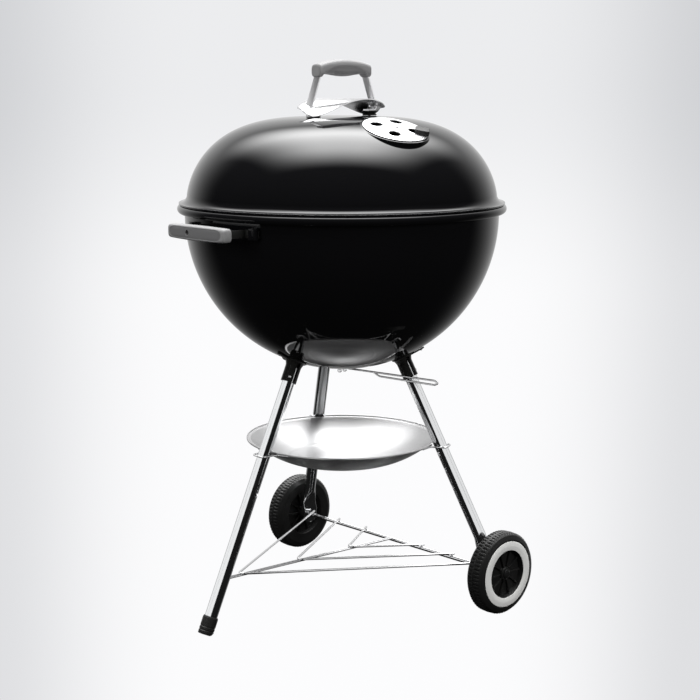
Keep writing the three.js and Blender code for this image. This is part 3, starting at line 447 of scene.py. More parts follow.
plate_top = hub_foot - 0.0030
plate_outline = np.vstack([arc(0.014, 0, 0.008, -90, 90, 12), arc(-0.010, 0, 0.008, 90, 270, 12)])
lever_level = plate_top - 0.0015 - LEVER_WIRE / 2
lever_tip = lever_level - 0.012
lever = [block(plate_outline, plate_top - 0.002, plate_top, 0.0004),
         wire([(0.012, 0, lever_level), (LEVER_REACH - 0.010, 0, lever_tip + 0.005),
               (LEVER_REACH, 0, lever_tip + 0.001), (LEVER_REACH - 0.010, 0, lever_tip - 0.003),
               (0.078, 0, lever_level - 0.009), (0.066, 0, lever_level - 0.0024)],
              LEVER_WIRE, 0.004, (0, 1, 0))]
bright = Finish("plated_steel", "bright plated steel", Base_Color=(0.78, 0.78, 0.79, 1.0), Metallic=1.0)
bright_draw = bright.streaks(24.0, 40.0)
bright.set(Roughness=0.08 + 0.10 * bright_draw)
bright.relief(bright_draw, 0.00001)
piece("sweep_lever_wire", [placed(part, turn_z(LEVER_AZIMUTH)) for part in lever], bright, "ash_sweep",
      ["sweep_lever"])
for count, side in enumerate((-1, 1)):
    nut_top = plate_top - 0.002 - LEVER_WIRE + 0.0002
    stud = [block(arc(0, 0, 0.0046, 0, 300, 6), nut_top - 0.004, nut_top, 0.0005),
            block(circle(0.005, 20), nut_top - 0.0055, over_sweep + 0.0025, 0.0004),
            block(circle(0.0088, 28), over_sweep + 0.0008, over_sweep + 0.0028, 0.0008)]
    shift = Matrix.Translation((side * STUD_X, 0, 0))
    piece(f"sweep_stud_{count + 1}", [placed(part, shift) for part in stud], bright, "ash_sweep",
          [f"sweep_nut_{count + 1}"])

# ---------------------------------------------------------------- lid
# The lid is a pressed dome in the same enamel, with a flared edge that rests on the bowl's bead. A
# shallow round seat is pressed up on one side for the vent, with four holes through it.
LID_RADIUS = 0.2836
LID_BASE = 0.748
LID_RISE = 0.1545
LID_SIDE_POWER = 3.49
LID_CROWN_POWER = 1.79
FLARE = 0.015
VENT_AZIMUTH = -101.9
VENT_FROM_AXIS = 0.1774
VENT_TILT = 19
VENT_TAB_AZIMUTH = -45
VENT_RADIUS = 0.057
VENT_SHEET = 0.0015
VENT_DOME_RADIUS = 0.4
VENT_HOLE_CIRCLE = 0.033
VENT_OPENING_RADIUS = 0.0600
SEAT_OUTSIDE = 0.0615
SEAT_INSIDE = 0.0586
SEAT_SKIRT = -0.0200


def lid_line(inset, count=110):
    """The dome's section, (r / R) to the side power plus (z / rise) to the crown power is 1, walked
    by an angle from the crown: r is R sin to 2 / side, and z is rise cos to 2 / crown."""
    angle = np.radians(83) * np.linspace(0, 1, count) ** 1.5
    return np.stack([(LID_RADIUS - inset) * np.sin(angle) ** (2 / LID_SIDE_POWER),
                     LID_BASE + (LID_RISE - inset) * np.cos(angle) ** (2 / LID_CROWN_POWER)], axis=1)


def lid_height(radius):
    """The dome's height at a distance from its axis."""
    return LID_BASE + LID_RISE * (1 - (radius / LID_RADIUS) ** LID_SIDE_POWER) ** (1 / LID_CROWN_POWER)


def vent_dome(height, first, last, count=16):
    """A shallow dome's section: its height less the distance squared over twice its radius."""
    radius = np.linspace(first, last, count)
    return np.stack([radius, height - radius ** 2 / (2 * VENT_DOME_RADIUS)], axis=1)


vent_azimuth = np.radians(VENT_AZIMUTH)
vent_place = (
    Matrix.Translation((VENT_FROM_AXIS * np.cos(vent_azimuth), VENT_FROM_AXIS * np.sin(vent_azimuth),
                        lid_height(VENT_FROM_AXIS)))
    @ turn_z(VENT_AZIMUTH) @ Matrix.Rotation(np.radians(VENT_TILT), 4, "Y")
    @ Matrix.Translation((0, 0, 0.001)) @ turn_z(-VENT_AZIMUTH))


def vent_holes(radius):
    """Four round cutters on a circle about the vent's axis."""
    outwards = Matrix.Translation((VENT_HOLE_CIRCLE, 0, 0))
    hole = placed(block(arc(0, 0, radius, 0, 351, 40), -0.03, 0.03), outwards)
    return [placed(hole, turn_z(VENT_TAB_AZIMUTH + 90 * count)) for count in range(4)]


dome = lid_line(0.0)[::-1]
join_r, join_z = dome[0]
flare_r = join_r + FLARE
lid_profile = np.vstack([lid_line(SHEET), arc(flare_r, join_z, FLARE + SHEET, 180, 270, 16),
                         arc(flare_r, join_z, FLARE, 270, 180, 16), dome])
lid_profile[:, 1] += RIM_TOP + 0.0003 - (join_z - FLARE - SHEET)
vent_opening = placed(block(arc(0, 0, VENT_OPENING_RADIUS, 0, 356.4, 100), -0.03, 0.03), vent_place)
piece("lid_dome", [turned(lid_profile, 256)], enamel, "lid", ["lid"], [vent_opening])
seat_rim = rounded([[0.0570, -0.0041], [SEAT_OUTSIDE, -0.0047],
                    [SEAT_OUTSIDE, SEAT_SKIRT]], 0.0018, 6)
seat_profile = np.vstack([vent_dome(0, 0, 0.0570, 24), seat_rim, [[SEAT_INSIDE, SEAT_SKIRT]],
                          vent_dome(-SHEET, SEAT_INSIDE, 0, 24)])
piece("lid_vent_seat", [placed(turned(seat_profile, 120), vent_place)], enamel, "lid", [],
      [placed(hole, vent_place) for hole in vent_holes(0.010)])

# ---------------------------------------------------------------- lid vent
# A spun aluminium disc turns on a rivet over the seat, so that its holes open or shut the ones below.
# A moulded tab on its edge keeps the fingers off the metal.
vent_metal = Finish("satin_aluminium", "satin spun aluminium", Metallic=1.0)
vent_metal.set(Base_Color=vent_metal.mixed(vent_metal.noise(70.0).rising(0.3, 0.7), (0.90, 0.90, 0.91),
                                           (0.80, 0.80, 0.81)))
vent_lines = vent_metal.streaks(2.0, 2600.0, 1.0)
vent_metal.set(Roughness=0.26 + 0.16 * vent_lines)
vent_metal.relief(vent_lines, 0.00003)
rivet_hole = block(arc(0, 0, 0.0034, 0, 351, 40), -0.03, 0.03)
edge_start = 0.054
edge_drop = edge_start ** 2 / (2 * VENT_DOME_RADIUS)
disc_edge = rounded([[edge_start, 0.0003 + VENT_SHEET - edge_drop], [VENT_RADIUS, -0.0022],
                     [VENT_RADIUS, -0.0037], [edge_start, 0.0003 - edge_drop]], 0.0006, 5)
disc_profile = np.vstack([vent_dome(0.0003 + VENT_SHEET, 0, 0.053, 40), disc_edge[1:-1],
                          vent_dome(0.0003, 0.053, 0, 24)])
piece("vent_disc_spun", [placed(turned(disc_profile, 128), vent_place)], vent_metal, "lid_vent",
      ["lid_vent_disc"], [placed(hole, vent_place) for hole in vent_holes(0.011) + [rivet_hole]])
rivet_top = 0.0003 + VENT_SHEET + 0.0003
rivet_profile = rounded([[0, rivet_top + 0.0021], [0.0042, rivet_top + 0.0018], [0.006, rivet_top + 0.0004],
                         [0.0058, rivet_top], [0.003, rivet_top], [0.003, -0.009], [0, -0.009]], 0.0012)
piece("vent_rivet_head", [placed(turned(rivet_profile, 40), vent_place)], vent_metal, "lid",
      ["lid_vent_rivet"])

black_plastic = Finish("black_plastic", "moulded black plastic", Roughness=0.45)
black_grain = black_plastic.noise(1400.0, 2.0)
black_plastic.set(Base_Color=black_plastic.mixed(black_plastic.noise(45.0), (0.011, 0.011, 0.011),
                                                 (0.022, 0.022, 0.021)))
black_plastic.set(Roughness=0.38 + 0.16 * black_grain)
black_plastic.relief(black_grain, 0.00004)
tab_plastic = Finish("black_plastic", "black tab plastic", Base_Color=(0.02, 0.02, 0.02, 1.0))
tab_grain = tab_plastic.noise(1200.0, 2.0)
tab_plastic.set(Roughness=0.42 + 0.2 * tab_grain)
tab_plastic.relief(tab_grain, 0.00004)


def rounded_rectangle(width, depth, corner, x=0.0, y=0.0):
    return bar_section(width, depth, corner) + [x, y]


tab_clearance = turned(np.vstack([[[0, -0.03], [VENT_RADIUS + 0.001, -0.03]],
                                  vent_dome(VENT_SHEET + 0.0006, VENT_RADIUS + 0.001, 0)]), 64)
tab = block(rounded_rectangle(0.025, 0.023, 0.004, 0.0465), -0.0023, 0.0070, 0.0016)
tab_dots = [placed(turned([[0, 0.0010], [0.0008, 0.0009], [0.0012, 0.0], [0, -0.001]], 20),
                   Matrix.Translation((0.0585, side * 0.0055, 0.0030)) @ Matrix.Rotation(np.pi / 2, 4, "Y"))
            for side in (-1, 1)]
tab_place = vent_place @ turn_z(VENT_TAB_AZIMUTH)
piece("vent_tab_moulded", [placed(tab, tab_place)], tab_plastic, "lid_vent", ["lid_vent_tab"],
      [placed(tab_clearance, vent_place)])
piece("vent_tab_pins", [placed(dot, tab_place) for dot in tab_dots], black_plastic, "lid_vent", [])

# ---------------------------------------------------------------- lid handle
# One flat aluminium bar is bent into the two feet and arms and runs through a moulded nylon grip.
# Its feet turn inward, and bolts through black spacers hold them to the lid. The grip's underside
# is a finger pad with fine ribs, set back behind a carved line, and darker there by painted shade.
HANDLE_BOLT_X = 0.0695
ARM_FOOT_X = 0.082
ARM_TOP_X = 0.054
BAR_LEVEL = 0.986
BOSS_FOOT_RADIUS = 0.013
SPACER_TOP = 0.9105
BAR_WIDTH = 0.016
BAR_THICKNESS = 0.003
GRIP_LENGTH = 0.127
GRIP_TOP = 1.003

bar_metal = Finish("satin_aluminium", "brushed aluminium bar", Metallic=1.0)
bar_lines = bar_metal.streaks(260.0, 9.0, 2.0)
bar_metal.set(Base_Color=bar_metal.mixed(bar_lines, (0.84, 0.84, 0.85), (0.74, 0.74, 0.75)))
bar_metal.set(Roughness=0.24 + 0.14 * bar_lines)
bar_metal.relief(bar_lines, 0.00003)
foot_level = SPACER_TOP + 0.0003 + BAR_THICKNESS / 2
bar_corners = [(HANDLE_BOLT_X - 0.009, 0, foot_level), (ARM_FOOT_X, 0, foot_level),
               (ARM_TOP_X, 0, BAR_LEVEL),
               (-ARM_TOP_X, 0, BAR_LEVEL), (-ARM_FOOT_X, 0, foot_level),
               (0.009 - HANDLE_BOLT_X, 0, foot_level)]
piece("handle_bar_bent", [carried(bar_section(BAR_WIDTH, BAR_THICKNESS), rounded(bar_corners, 0.006),
                                  (0, 1, 0))], bar_metal, "lid", ["lid_handle_bar"])

nylon = Finish("grey_nylon", "grey glass-filled nylon", Specular_IOR_Level=0.4)
nylon_grain = nylon.noise(1600.0, 3.0)
# Painted shade: the shade mask turns the nylon from 0.23 to 0.14 grey on the lid grip's set-back underside
# and on the side grips' front panels.
nylon_painted_shade = nylon.node("Attribute", {"attribute_name": "shade_mask"}, output="Fac")
nylon.set(Base_Color=nylon.mixed(nylon_painted_shade, (0.23, 0.23, 0.232), (0.14, 0.14, 0.142)))
nylon.set(Roughness=0.42 + 0.2 * nylon_grain)
nylon.relief(nylon_grain + 0.6 * nylon.noise(500.0, 2.0), 0.00007)


def smooth(value, low, high):
    """0 below low, 1 above high, and 3 t squared less 2 t cubed between."""
    t = np.clip((value - low) / (high - low), 0, 1)
    return t * t * (3 - 2 * t)


def superellipse(angle, power):
    """A squared circle: cos and sin, each to 2 / power and keeping its sign."""
    cos, sin = np.cos(angle), np.sin(angle)
    return (np.sign(cos) * np.abs(cos) ** (2 / power), np.sign(sin) * np.abs(sin) ** (2 / power))


along = np.concatenate([[-1.0], np.linspace(-1, 1, 301), [1.0]])
end_round = np.sqrt(np.clip(1 - np.clip((np.abs(along) - 0.955) / 0.045, 0, 1) ** 2.6, 0, 1))
end_round[[0, -1]] = 0.0
end_round[[1, -2]] = 0.80
top = GRIP_TOP - 0.009 * along ** 2
bottom = np.where(np.abs(along) < 0.85, 0.975 - 0.002 * np.cos(along * np.pi / 0.75), 0.9712)
bottom = np.convolve(np.pad(bottom, 6, "edge"), np.ones(13) / 13, "valid")
turn = np.linspace(0, 2 * np.pi, 120, endpoint=False)
wide, tall = superellipse(turn, 3.2)
height_share = (tall[None, :] + 1) / 2
carved = 0.60 * (1 - np.clip(np.abs(along) / 0.84, 0, 1) ** 3.0)[:, None]
set_back_and_shade = 1 - smooth(height_share, carved - 0.07, carved + 0.005)
set_back_and_shade = set_back_and_shade * (1 - smooth(np.abs(along), 0.80, 0.86))[:, None]
crease = np.exp(-((height_share - carved) / 0.035) ** 2) * (1 - smooth(np.abs(along), 0.78, 0.84))[:, None]
ribs = 0.5 + 0.5 * np.cos(along * GRIP_LENGTH / 2 * 2 * np.pi / 0.0031)[:, None]
ribs = ribs * (1 - smooth(height_share, 0.20, 0.34)) * (1 - smooth(np.abs(along), 0.42, 0.52))[:, None]
half_width = 0.0135 * end_round[:, None] - 0.0014 * set_back_and_shade - 0.0006 * crease - 0.0006 * ribs
mid_height = ((top + bottom) / 2)[:, None]
half_height = ((top - bottom) / 2 * end_round)[:, None]
grip_points = np.stack(np.broadcast_arrays(
    (along * GRIP_LENGTH / 2)[:, None], half_width * wide,
    mid_height + (half_height - 0.0005 * ribs) * tall), axis=-1)
# The set-back underside also carries the grip's painted shade, at 0.55 strength.
piece("handle_grip_moulded", [grid(grip_points, wrap_columns=True, shade_mask=0.55 * set_back_and_shade)], nylon, "lid",
      ["lid_handle_grip"], sharp=60)

for name, side in (("left", -1), ("right", 1)):
    foot_x = side * HANDLE_BOLT_X
    base = lid_height(HANDLE_BOLT_X - BOSS_FOOT_RADIUS) + 0.0003
    spacer = rounded([[0, base], [BOSS_FOOT_RADIUS, base], [BOSS_FOOT_RADIUS, base + 0.0015],
                      [0.0110, base + 0.0035],
                      [0.0112, SPACER_TOP - 0.0035], [0.014, SPACER_TOP - 0.0018], [0.014, SPACER_TOP],
                      [0, SPACER_TOP]], 0.0007)
    shift = Matrix.Translation((foot_x, 0, 0))
    piece(f"handle_spacer_{name}", [placed(turned(spacer, 56), shift)], black_plastic, "lid",
          [f"lid_handle_spacer_{name}"])
    head = SPACER_TOP + BAR_THICKNESS + 0.0006
    bolt = [turned(rounded([[0, head + 0.0032], [0.0032, head + 0.0030], [0.0055, head + 0.0012],
                            [0.0055, head], [0, head]], 0.0012), 40),
            block(circle(0.006, 20), lid_height(HANDLE_BOLT_X) - 0.012, head + 0.001, 0.0004)]
    piece(f"handle_bolt_{name}", [placed(part, shift) for part in bolt], bright, "lid",
          [f"lid_handle_bolt_{name}"])

# ---------------------------------------------------------------- heat shield
# A thin, slightly twisted leaf of polished aluminium arches over the lid between the arms and keeps
# the heat off the hand. The arms pass through a slot near each end.
along = np.linspace(-1, 1, 121)[:, None]
across = np.linspace(-1, 1, 41)[None, :]
leaf_half = 0.007 + 0.029 * np.sqrt(np.clip(1 - np.abs(along) ** 2.2, 0, None))
leaf_x = 0.098 * along + 0 * across
leaf_y = across * leaf_half
leaf_crest = (0.933 - 0.017 * along ** 2 - (0.003 + 0.012 * along ** 2) * across ** 2 * leaf_half / 0.036
              - 5.0 * leaf_x * leaf_y)
leaf_top = np.stack([leaf_x, leaf_y, leaf_crest + 0.0008], axis=-1)
leaf_under = np.stack([leaf_x, leaf_y, leaf_crest - 0.0008], axis=-1)
leaf_loop = np.concatenate([leaf_top, leaf_under[:, ::-1]], axis=1)
leaf_ends = [0.5 * (leaf_top[end] + leaf_under[end]).mean(axis=0) for end in (0, -1)]
leaf_rows = [np.broadcast_to(end, leaf_loop[0].shape)[None] for end in leaf_ends]
leaf = grid(np.concatenate([leaf_rows[0], leaf_loop, leaf_rows[1]]), wrap_columns=True)
arm_slots = [block(rounded_rectangle(0.009, BAR_WIDTH + 0.002, 0.001, side * 0.0785), 0.90, 0.945)
             for side in (-1, 1)]
shield_metal = Finish("satin_aluminium", "polished aluminium sheet", Metallic=1.0)
shield_lines = shield_metal.noise(1.0, 2.0, shield_metal.node(
    "VectorMath", {"operation": "MULTIPLY"}, {0: shield_metal.place, 1: (25.0, 1500.0, 1500.0)}))
shield_metal.set(Base_Color=shield_metal.mixed(shield_lines, (0.83, 0.83, 0.84), (0.75, 0.75, 0.76)))
shield_metal.set(Roughness=0.16 + 0.14 * shield_lines)
shield_metal.relief(shield_lines, 0.00002)
piece("heat_shield_leaf", [leaf], shield_metal, "lid", ["heat_shield"], arm_slots)

# ---------------------------------------------------------------- lid hook
# A bent plated strap spot-welded inside the lid hangs it on the bowl's edge while cooking.
hook_path = rounded([(0.202, 0, lid_height(0.202) - SHEET - 0.0045),
                     (0.222, 0, lid_height(0.222) - SHEET - 0.0045), (0.238, 0, 0.800)], 0.008)
piece("lid_hook_strap", [placed(carried(bar_section(0.020, 0.002), hook_path, (0, 1, 0)), turn_z(90))],
      plated, "lid", ["lid_hook"])

# ---------------------------------------------------------------- side handles
# Each side handle is a nylon grip moulded over a black steel strap. The strap's ends are turned
# along the bowl and pushed into two small enamelled keepers welded on its wall.
SIDE_LEVEL = 0.712
GRIP_FACE = 0.343
STRAP_X = 0.331
STRAP_WIDTH = 0.014

black_steel = Finish("black_steel", "black coated steel")
steel_cloud = black_steel.noise(30.0, 3.0)
black_steel.set(Base_Color=black_steel.mixed(steel_cloud, (0.010, 0.010, 0.0095), (0.020, 0.020, 0.019)))
black_steel.set(Roughness=0.20 + 0.14 * steel_cloud)
black_steel.relief(black_steel.noise(500.0, 2.0), 0.00003)


def on_bowl(degrees):
    """A point just off the bowl's wall at the handles' level."""
    angle = np.radians(degrees)
    return ((BOWL_RADIUS + 0.0025) * np.cos(angle), (BOWL_RADIUS + 0.0025) * np.sin(angle), SIDE_LEVEL)


strap_path = rounded([on_bowl(-18.4), on_bowl(-13), (STRAP_X, -0.064, SIDE_LEVEL),
                      (STRAP_X, 0.064, SIDE_LEVEL), on_bowl(13), on_bowl(18.4)], 0.006)
strap = carried(bar_section(STRAP_WIDTH, 0.0025), strap_path, (0, 0, 1))
along = np.concatenate([[-1.0], np.linspace(-1, 1, 161), [1.0]])
end_round = (1 - np.clip((np.abs(along) - 0.90) / 0.10, 0, 1) ** 2.4) ** (1 / 2.4) * 0.35 + 0.65
end_round[[0, -1]] = 0.0
turn = np.linspace(0, 2 * np.pi, 128, endpoint=False)
deep, tall = superellipse(turn, 4.5)
face = GRIP_FACE - 0.0035 * along ** 2
x = (face - 0.010)[:, None] + 0.010 * end_round[:, None] * deep
z = 0.013 * (1 - 0.10 * along ** 2)[:, None] * end_round[:, None] * tall
y = (along * 0.077)[:, None] + 0 * x
plan = np.clip((np.abs(y) - 0.052) / 0.018, 0, None) ** 2.4 + np.abs(z / 0.0094) ** 2.4
panel_and_shade = 1 - smooth(plan, 0.88, 1.12)
panel_and_shade = np.where(deep[None, :] > 0.6, panel_and_shade, 0.0)
# The sunk front panel also carries painted shade, darker than the grip's top and ends.
grip = grid(np.stack([x - 0.0007 * panel_and_shade, y, z + SIDE_LEVEL], axis=-1), wrap_columns=True, shade_mask=panel_and_shade)
strap_room = block(rounded_rectangle(0.060, 0.1366, 0.003, STRAP_X + 0.00155 - 0.030),
                   SIDE_LEVEL - 0.0073, SIDE_LEVEL + 0.0073)
hang_hole = placed(block(circle(0.0098, 40), 0.0, 0.05),
                   Matrix.Translation((STRAP_X + 0.0025, -0.018, SIDE_LEVEL))
                   @ Matrix.Rotation(np.pi / 2, 4, "Y"))
keeper_room = block(rounded_rectangle(0.009, 0.030, 0.001, BOWL_RADIUS - 0.00035),
                    SIDE_LEVEL - 0.0073, SIDE_LEVEL + 0.0073)
keeper = block(rounded_rectangle(0.009, 0.017, 0.0015, BOWL_RADIUS + 0.0052), SIDE_LEVEL - 0.010,
               SIDE_LEVEL + 0.010, 0.0009)
for name, azimuth in (("left", 180), ("right", 0)):
    spin = turn_z(azimuth)
    piece(f"side_grip_{name}_moulded", [placed(grip, spin)], nylon, "base", [f"side_grip_{name}"],
          [placed(strap_room, spin), placed(hang_hole, spin)], sharp=50)
    piece(f"side_strap_{name}_bent", [placed(strap, spin)], black_steel, "base", [f"side_strap_{name}"])
    for letter, side in (("a", -1), ("b", 1)):
        set_at = spin @ turn_z(side * 16.6)
        piece(f"side_keeper_{name}_{letter}", [placed(keeper, set_at)], enamel, "base",
              [f"side_bracket_{name}_{letter}"], [placed(keeper_room, set_at)])

# ---------------------------------------------------------------- legs
# Three legs of bright plated tube lean outwards. The foot leg ends in a plastic cap; the two wheel
# legs are pressed flat at the bottom into upright plates, and the axle runs through both.
LEG_DIAMETER = 0.023
LEG_FLOOR_RADIUS = 0.332
LEG_SLOPE = 0.464
WHEEL_LEG_AZIMUTH = 61.5
AXLE_X = 0.1364
WHEEL_RADIUS = 0.0762
AXLE_Z = WHEEL_RADIUS
PLATE_Y = 0.245

leg_metal = Finish("polished_legs", "bright plated tube", Base_Color=(0.86, 0.87, 0.88, 1.0), Metallic=1.0)
leg_lines = leg_metal.streaks(70.0, 5.0, 3.0)
leg_metal.set(Roughness=0.055 + 0.07 * leg_lines)
leg_metal.relief(leg_lines, 0.000012)
leg_tilt = np.arctan(LEG_SLOPE)
leg_place = Matrix.Translation((LEG_FLOOR_RADIUS, 0, 0)) @ Matrix.Rotation(-leg_tilt, 4, "Y")
bowl_in_leg = leg_place.inverted() @ Vector((0, 0, BOWL_CENTRE))


def leg_reach(radius):
    """How far up the leg's line a sphere about the bowl's centre is met: the lower root."""
    return bowl_in_leg.z - np.sqrt(radius ** 2 - bowl_in_leg.x ** 2 - bowl_in_leg.y ** 2)


def leg_radius(height):
    return LEG_FLOOR_RADIUS - LEG_SLOPE * height


def tube(diameter, low, high, count=48):
    """A closed round bar up the leg's own Z."""
    return carried(circle(diameter, count), [(0, 0, low), (0, 0, high)], (1, 0, 0), 0.0006)


leg_top = leg_reach(BOWL_RADIUS + 0.0045)
foot_spin = turn_z(180) @ leg_place
piece("leg_foot_tube", [placed(tube(LEG_DIAMETER, 0.0175, leg_top), foot_spin)], leg_metal, "base",
      ["leg_foot"])
cap_profile = rounded([[0, 0.0], [0.0135, 0.0], [0.0139, 0.006], [0.0130, 0.0075], [0.0139, 0.009],
                       [0.0139, 0.0125], [0.0130, 0.014], [0.0139, 0.0155], [0.0139, 0.030],
                       [0.0130, 0.033], [0.0118, 0.033], [0.0118, 0.0165], [0, 0.0165]], 0.0008, 5)
foot_cap = placed(turned(cap_profile, 72), foot_spin)
foot_cap["points"][:, 2] = np.maximum(foot_cap["points"][:, 2], 0.0)
piece("foot_cap_moulded", [foot_cap], black_plastic, "base", ["foot_cap"])


def wheel_leg(side):
    """The leg's section goes from a circle to a flat rounded plate as it comes down. Each row is a
    middle plus half width times cos and half thickness times sin, with the tube's hollow pressed in
    along the plate's middle, and the plate's end closed as a half circle about the axle."""
    azimuth = np.radians(side * WHEEL_LEG_AZIMUTH)
    out = np.array([np.cos(azimuth), np.sin(azimuth), 0.0])
    leg_up = -np.sin(leg_tilt) * out + np.cos(leg_tilt) * np.array([0, 0, 1.0])
    start = LEG_FLOOR_RADIUS * out + 0.152 * leg_up
    top_end = LEG_FLOOR_RADIUS * out + leg_top * leg_up
    plate_end = np.array([AXLE_X - 0.003, side * PLATE_Y, 0.104])
    t = np.linspace(0, 1, 60)[:, None]
    ease = t * t * (3 - 2 * t)
    crush = start + (plate_end - start) * t
    down = np.linspace(0, 1, 50)[1:, None] ** 0.8
    low = AXLE_Z - 0.017
    level = 0.104 + (low - 0.104) * down
    plate = np.hstack([AXLE_X - 0.003 + 0.003 * smooth(down, 0, 0.4), 0 * down + side * PLATE_Y, level])
    straight = top_end + (start - top_end) * np.linspace(0, 1, 24)[:-1, None]
    middle = np.vstack([straight, crush, plate])
    flat = np.vstack([np.zeros((23, 1)), ease, np.ones((49, 1))])
    below = np.vstack([np.zeros((83, 1)), np.clip((AXLE_Z - level) / 0.017, 0, 1)])
    narrowing = np.sqrt(np.clip(1 - below ** 2, 0, 1))
    round_side = np.cross([0, 1.0, 0], leg_up)
    round_side = round_side / np.linalg.norm(round_side)
    wide = round_side * (1 - flat) + np.array([1.0, 0, 0]) * flat
    wide = wide / np.linalg.norm(wide, axis=1)[:, None]
    up = leg_up * (1 - flat) + np.array([0, 0, 1.0]) * flat
    thick = np.cross(wide, up)
    thick = thick / np.linalg.norm(thick, axis=1)[:, None]
    half_wide = (LEG_DIAMETER / 2 + (0.017 - LEG_DIAMETER / 2) * flat) * narrowing
    half_thick = LEG_DIAMETER / 2 + (0.0023 - LEG_DIAMETER / 2) * flat
    turn = np.linspace(0, 2 * np.pi, 64, endpoint=False)[None, :]
    power = 2 + 3 * flat
    cos, sin = np.cos(turn), np.sin(turn)
    across = np.sign(cos) * np.abs(cos) ** (2 / power)
    through = np.sign(sin) * np.abs(sin) ** (2 / power)
    pinch = 0.55 * (smooth(flat, 0.15, 0.75) - smooth(flat, 0.93, 1.0)) * np.exp(-(across / 0.45) ** 2)
    points = (middle[:, None] + (half_wide * across)[..., None] * wide[:, None]
              + (half_thick * through * (1 - pinch))[..., None] * thick[:, None])
    ends = [np.broadcast_to(row.mean(axis=0), row.shape)[None] for row in (points[0], points[-1])]
    return grid(np.concatenate([ends[0], points, ends[1]]), wrap_columns=True)


for name, side in (("front", -1), ("rear", 1)):
    piece(f"leg_{name}_tube", [wheel_leg(side)], leg_metal, "base", [f"leg_{name}"])

# ---------------------------------------------------------------- leg sockets
# A black steel socket is welded under the bowl for each leg. It is rolled from sheet with an open
# seam, flares at the top into a pad with a raised rib, and a riveted tongue runs up the bowl. The
# leg's spring button snaps out through a hole near its lower edge.
SOCKET_BORE = LEG_DIAMETER / 2 + 0.0003
SOCKET_WALL = 0.0026
socket_foot = leg_reach(BOWL_RADIUS + 0.002) - 0.038


def on_skin(x, y, lift):
    """The height up the leg's Z of the bowl's skin raised by lift, over a point beside the leg."""
    return bowl_in_leg.z - np.sqrt((BOWL_RADIUS + lift) ** 2 - (x - bowl_in_leg.x) ** 2 - y ** 2)


def socket_sleeve(seam):
    """Round the leg from one side of the seam to the other, and round the wall's section: up the
    outside, which flares by 3 mm near the bowl, and down the bore."""
    angle = np.radians(seam) + np.linspace(0.17, 2 * np.pi - 0.17, 96)[:, None]
    rise = np.concatenate([np.linspace(0, 1, 24), np.linspace(1, 0, 24)])[None, :]
    outside = np.concatenate([np.ones(24), np.zeros(24)])[None, :]
    flare = 0.0030 * smooth(rise, 0.72, 1.0)
    radius = SOCKET_BORE + (SOCKET_WALL + flare) * outside
    x, y = radius * np.cos(angle), radius * np.sin(angle)
    top = on_skin(x, y, 0.0008)
    points = np.stack([x, y, socket_foot + (top - socket_foot) * rise], axis=-1)
    ends = [np.broadcast_to(row.mean(axis=0), row.shape)[None] for row in (points[0], points[-1])]
    return grid(np.concatenate([ends[0], points, ends[1]]), wrap_columns=True)


def socket_pad():
    """A round pad on the bowl about the leg. Its outline is 21 mm, a little wider to the sides, and
    its section is a loop of share of the way out and lift, with a rounded rib near the edge."""
    angle = np.linspace(0, 2 * np.pi, 96, endpoint=False)[:, None]
    share = np.concatenate([np.linspace(0, 1, 30), [1.0, 0.0]])[None, :]
    rib = 0.0013 * np.exp(-((share - 0.78) / 0.09) ** 2)
    lift = np.concatenate([np.full(30, 0.0022), [0.0004, 0.0004]])[None, :] + rib
    lift = np.where(np.arange(32) < 30, lift, 0.0004)
    reach = 0.0115 + (0.0100 + 0.0035 * np.sin(angle) ** 2) * share
    x, y = reach * np.cos(angle) + 0.002, reach * np.sin(angle)
    return grid(np.stack([x, y, on_skin(x, y, lift)], axis=-1), wrap_rows=True, wrap_columns=True)


def socket_tongue():
    """A narrow strip up the bowl from the pad: along it, and round its section."""
    reach = np.linspace(0.014, 0.046, 30)[:, None]
    half = 0.0065 - 0.0015 * smooth(reach, 0.014, 0.040)
    half = half * np.sqrt(np.clip(1 - np.clip((reach - 0.0405) / 0.0056, 0, 1) ** 2, 0.02, 1))
    share = np.concatenate([np.linspace(-1, 1, 15), np.linspace(1, -1, 15)])[None, :]
    edge = 1 - smooth(np.abs(share), 0.75, 1.0)
    lift = np.where(np.arange(30) < 15, 0.0016 + 0.0016 * edge, 0.0004)
    x, y = reach + 0 * share, half * share
    points = np.stack([x, y, on_skin(x, y, lift)], axis=-1)
    ends = [np.broadcast_to(row.mean(axis=0), row.shape)[None] for row in (points[0], points[-1])]
    return grid(np.concatenate([ends[0], points, ends[1]]), wrap_columns=True)


def dome(radius, height):
    """A small rivet or button head: a profile that rounds over at its edge."""
    return turned(rounded([[0, height], [radius * 0.75, height * 0.85], [radius, 0], [radius, -0.002],
                           [0, -0.002]], radius * 0.3, 5), 32)


def beside_leg(degrees, distance, rise):
    """A place on the leg's side, its Z pointing straight out of it."""
    return turn_z(degrees) @ Matrix.Translation((distance, 0, rise)) @ Matrix.Rotation(np.pi / 2, 4, "Y")


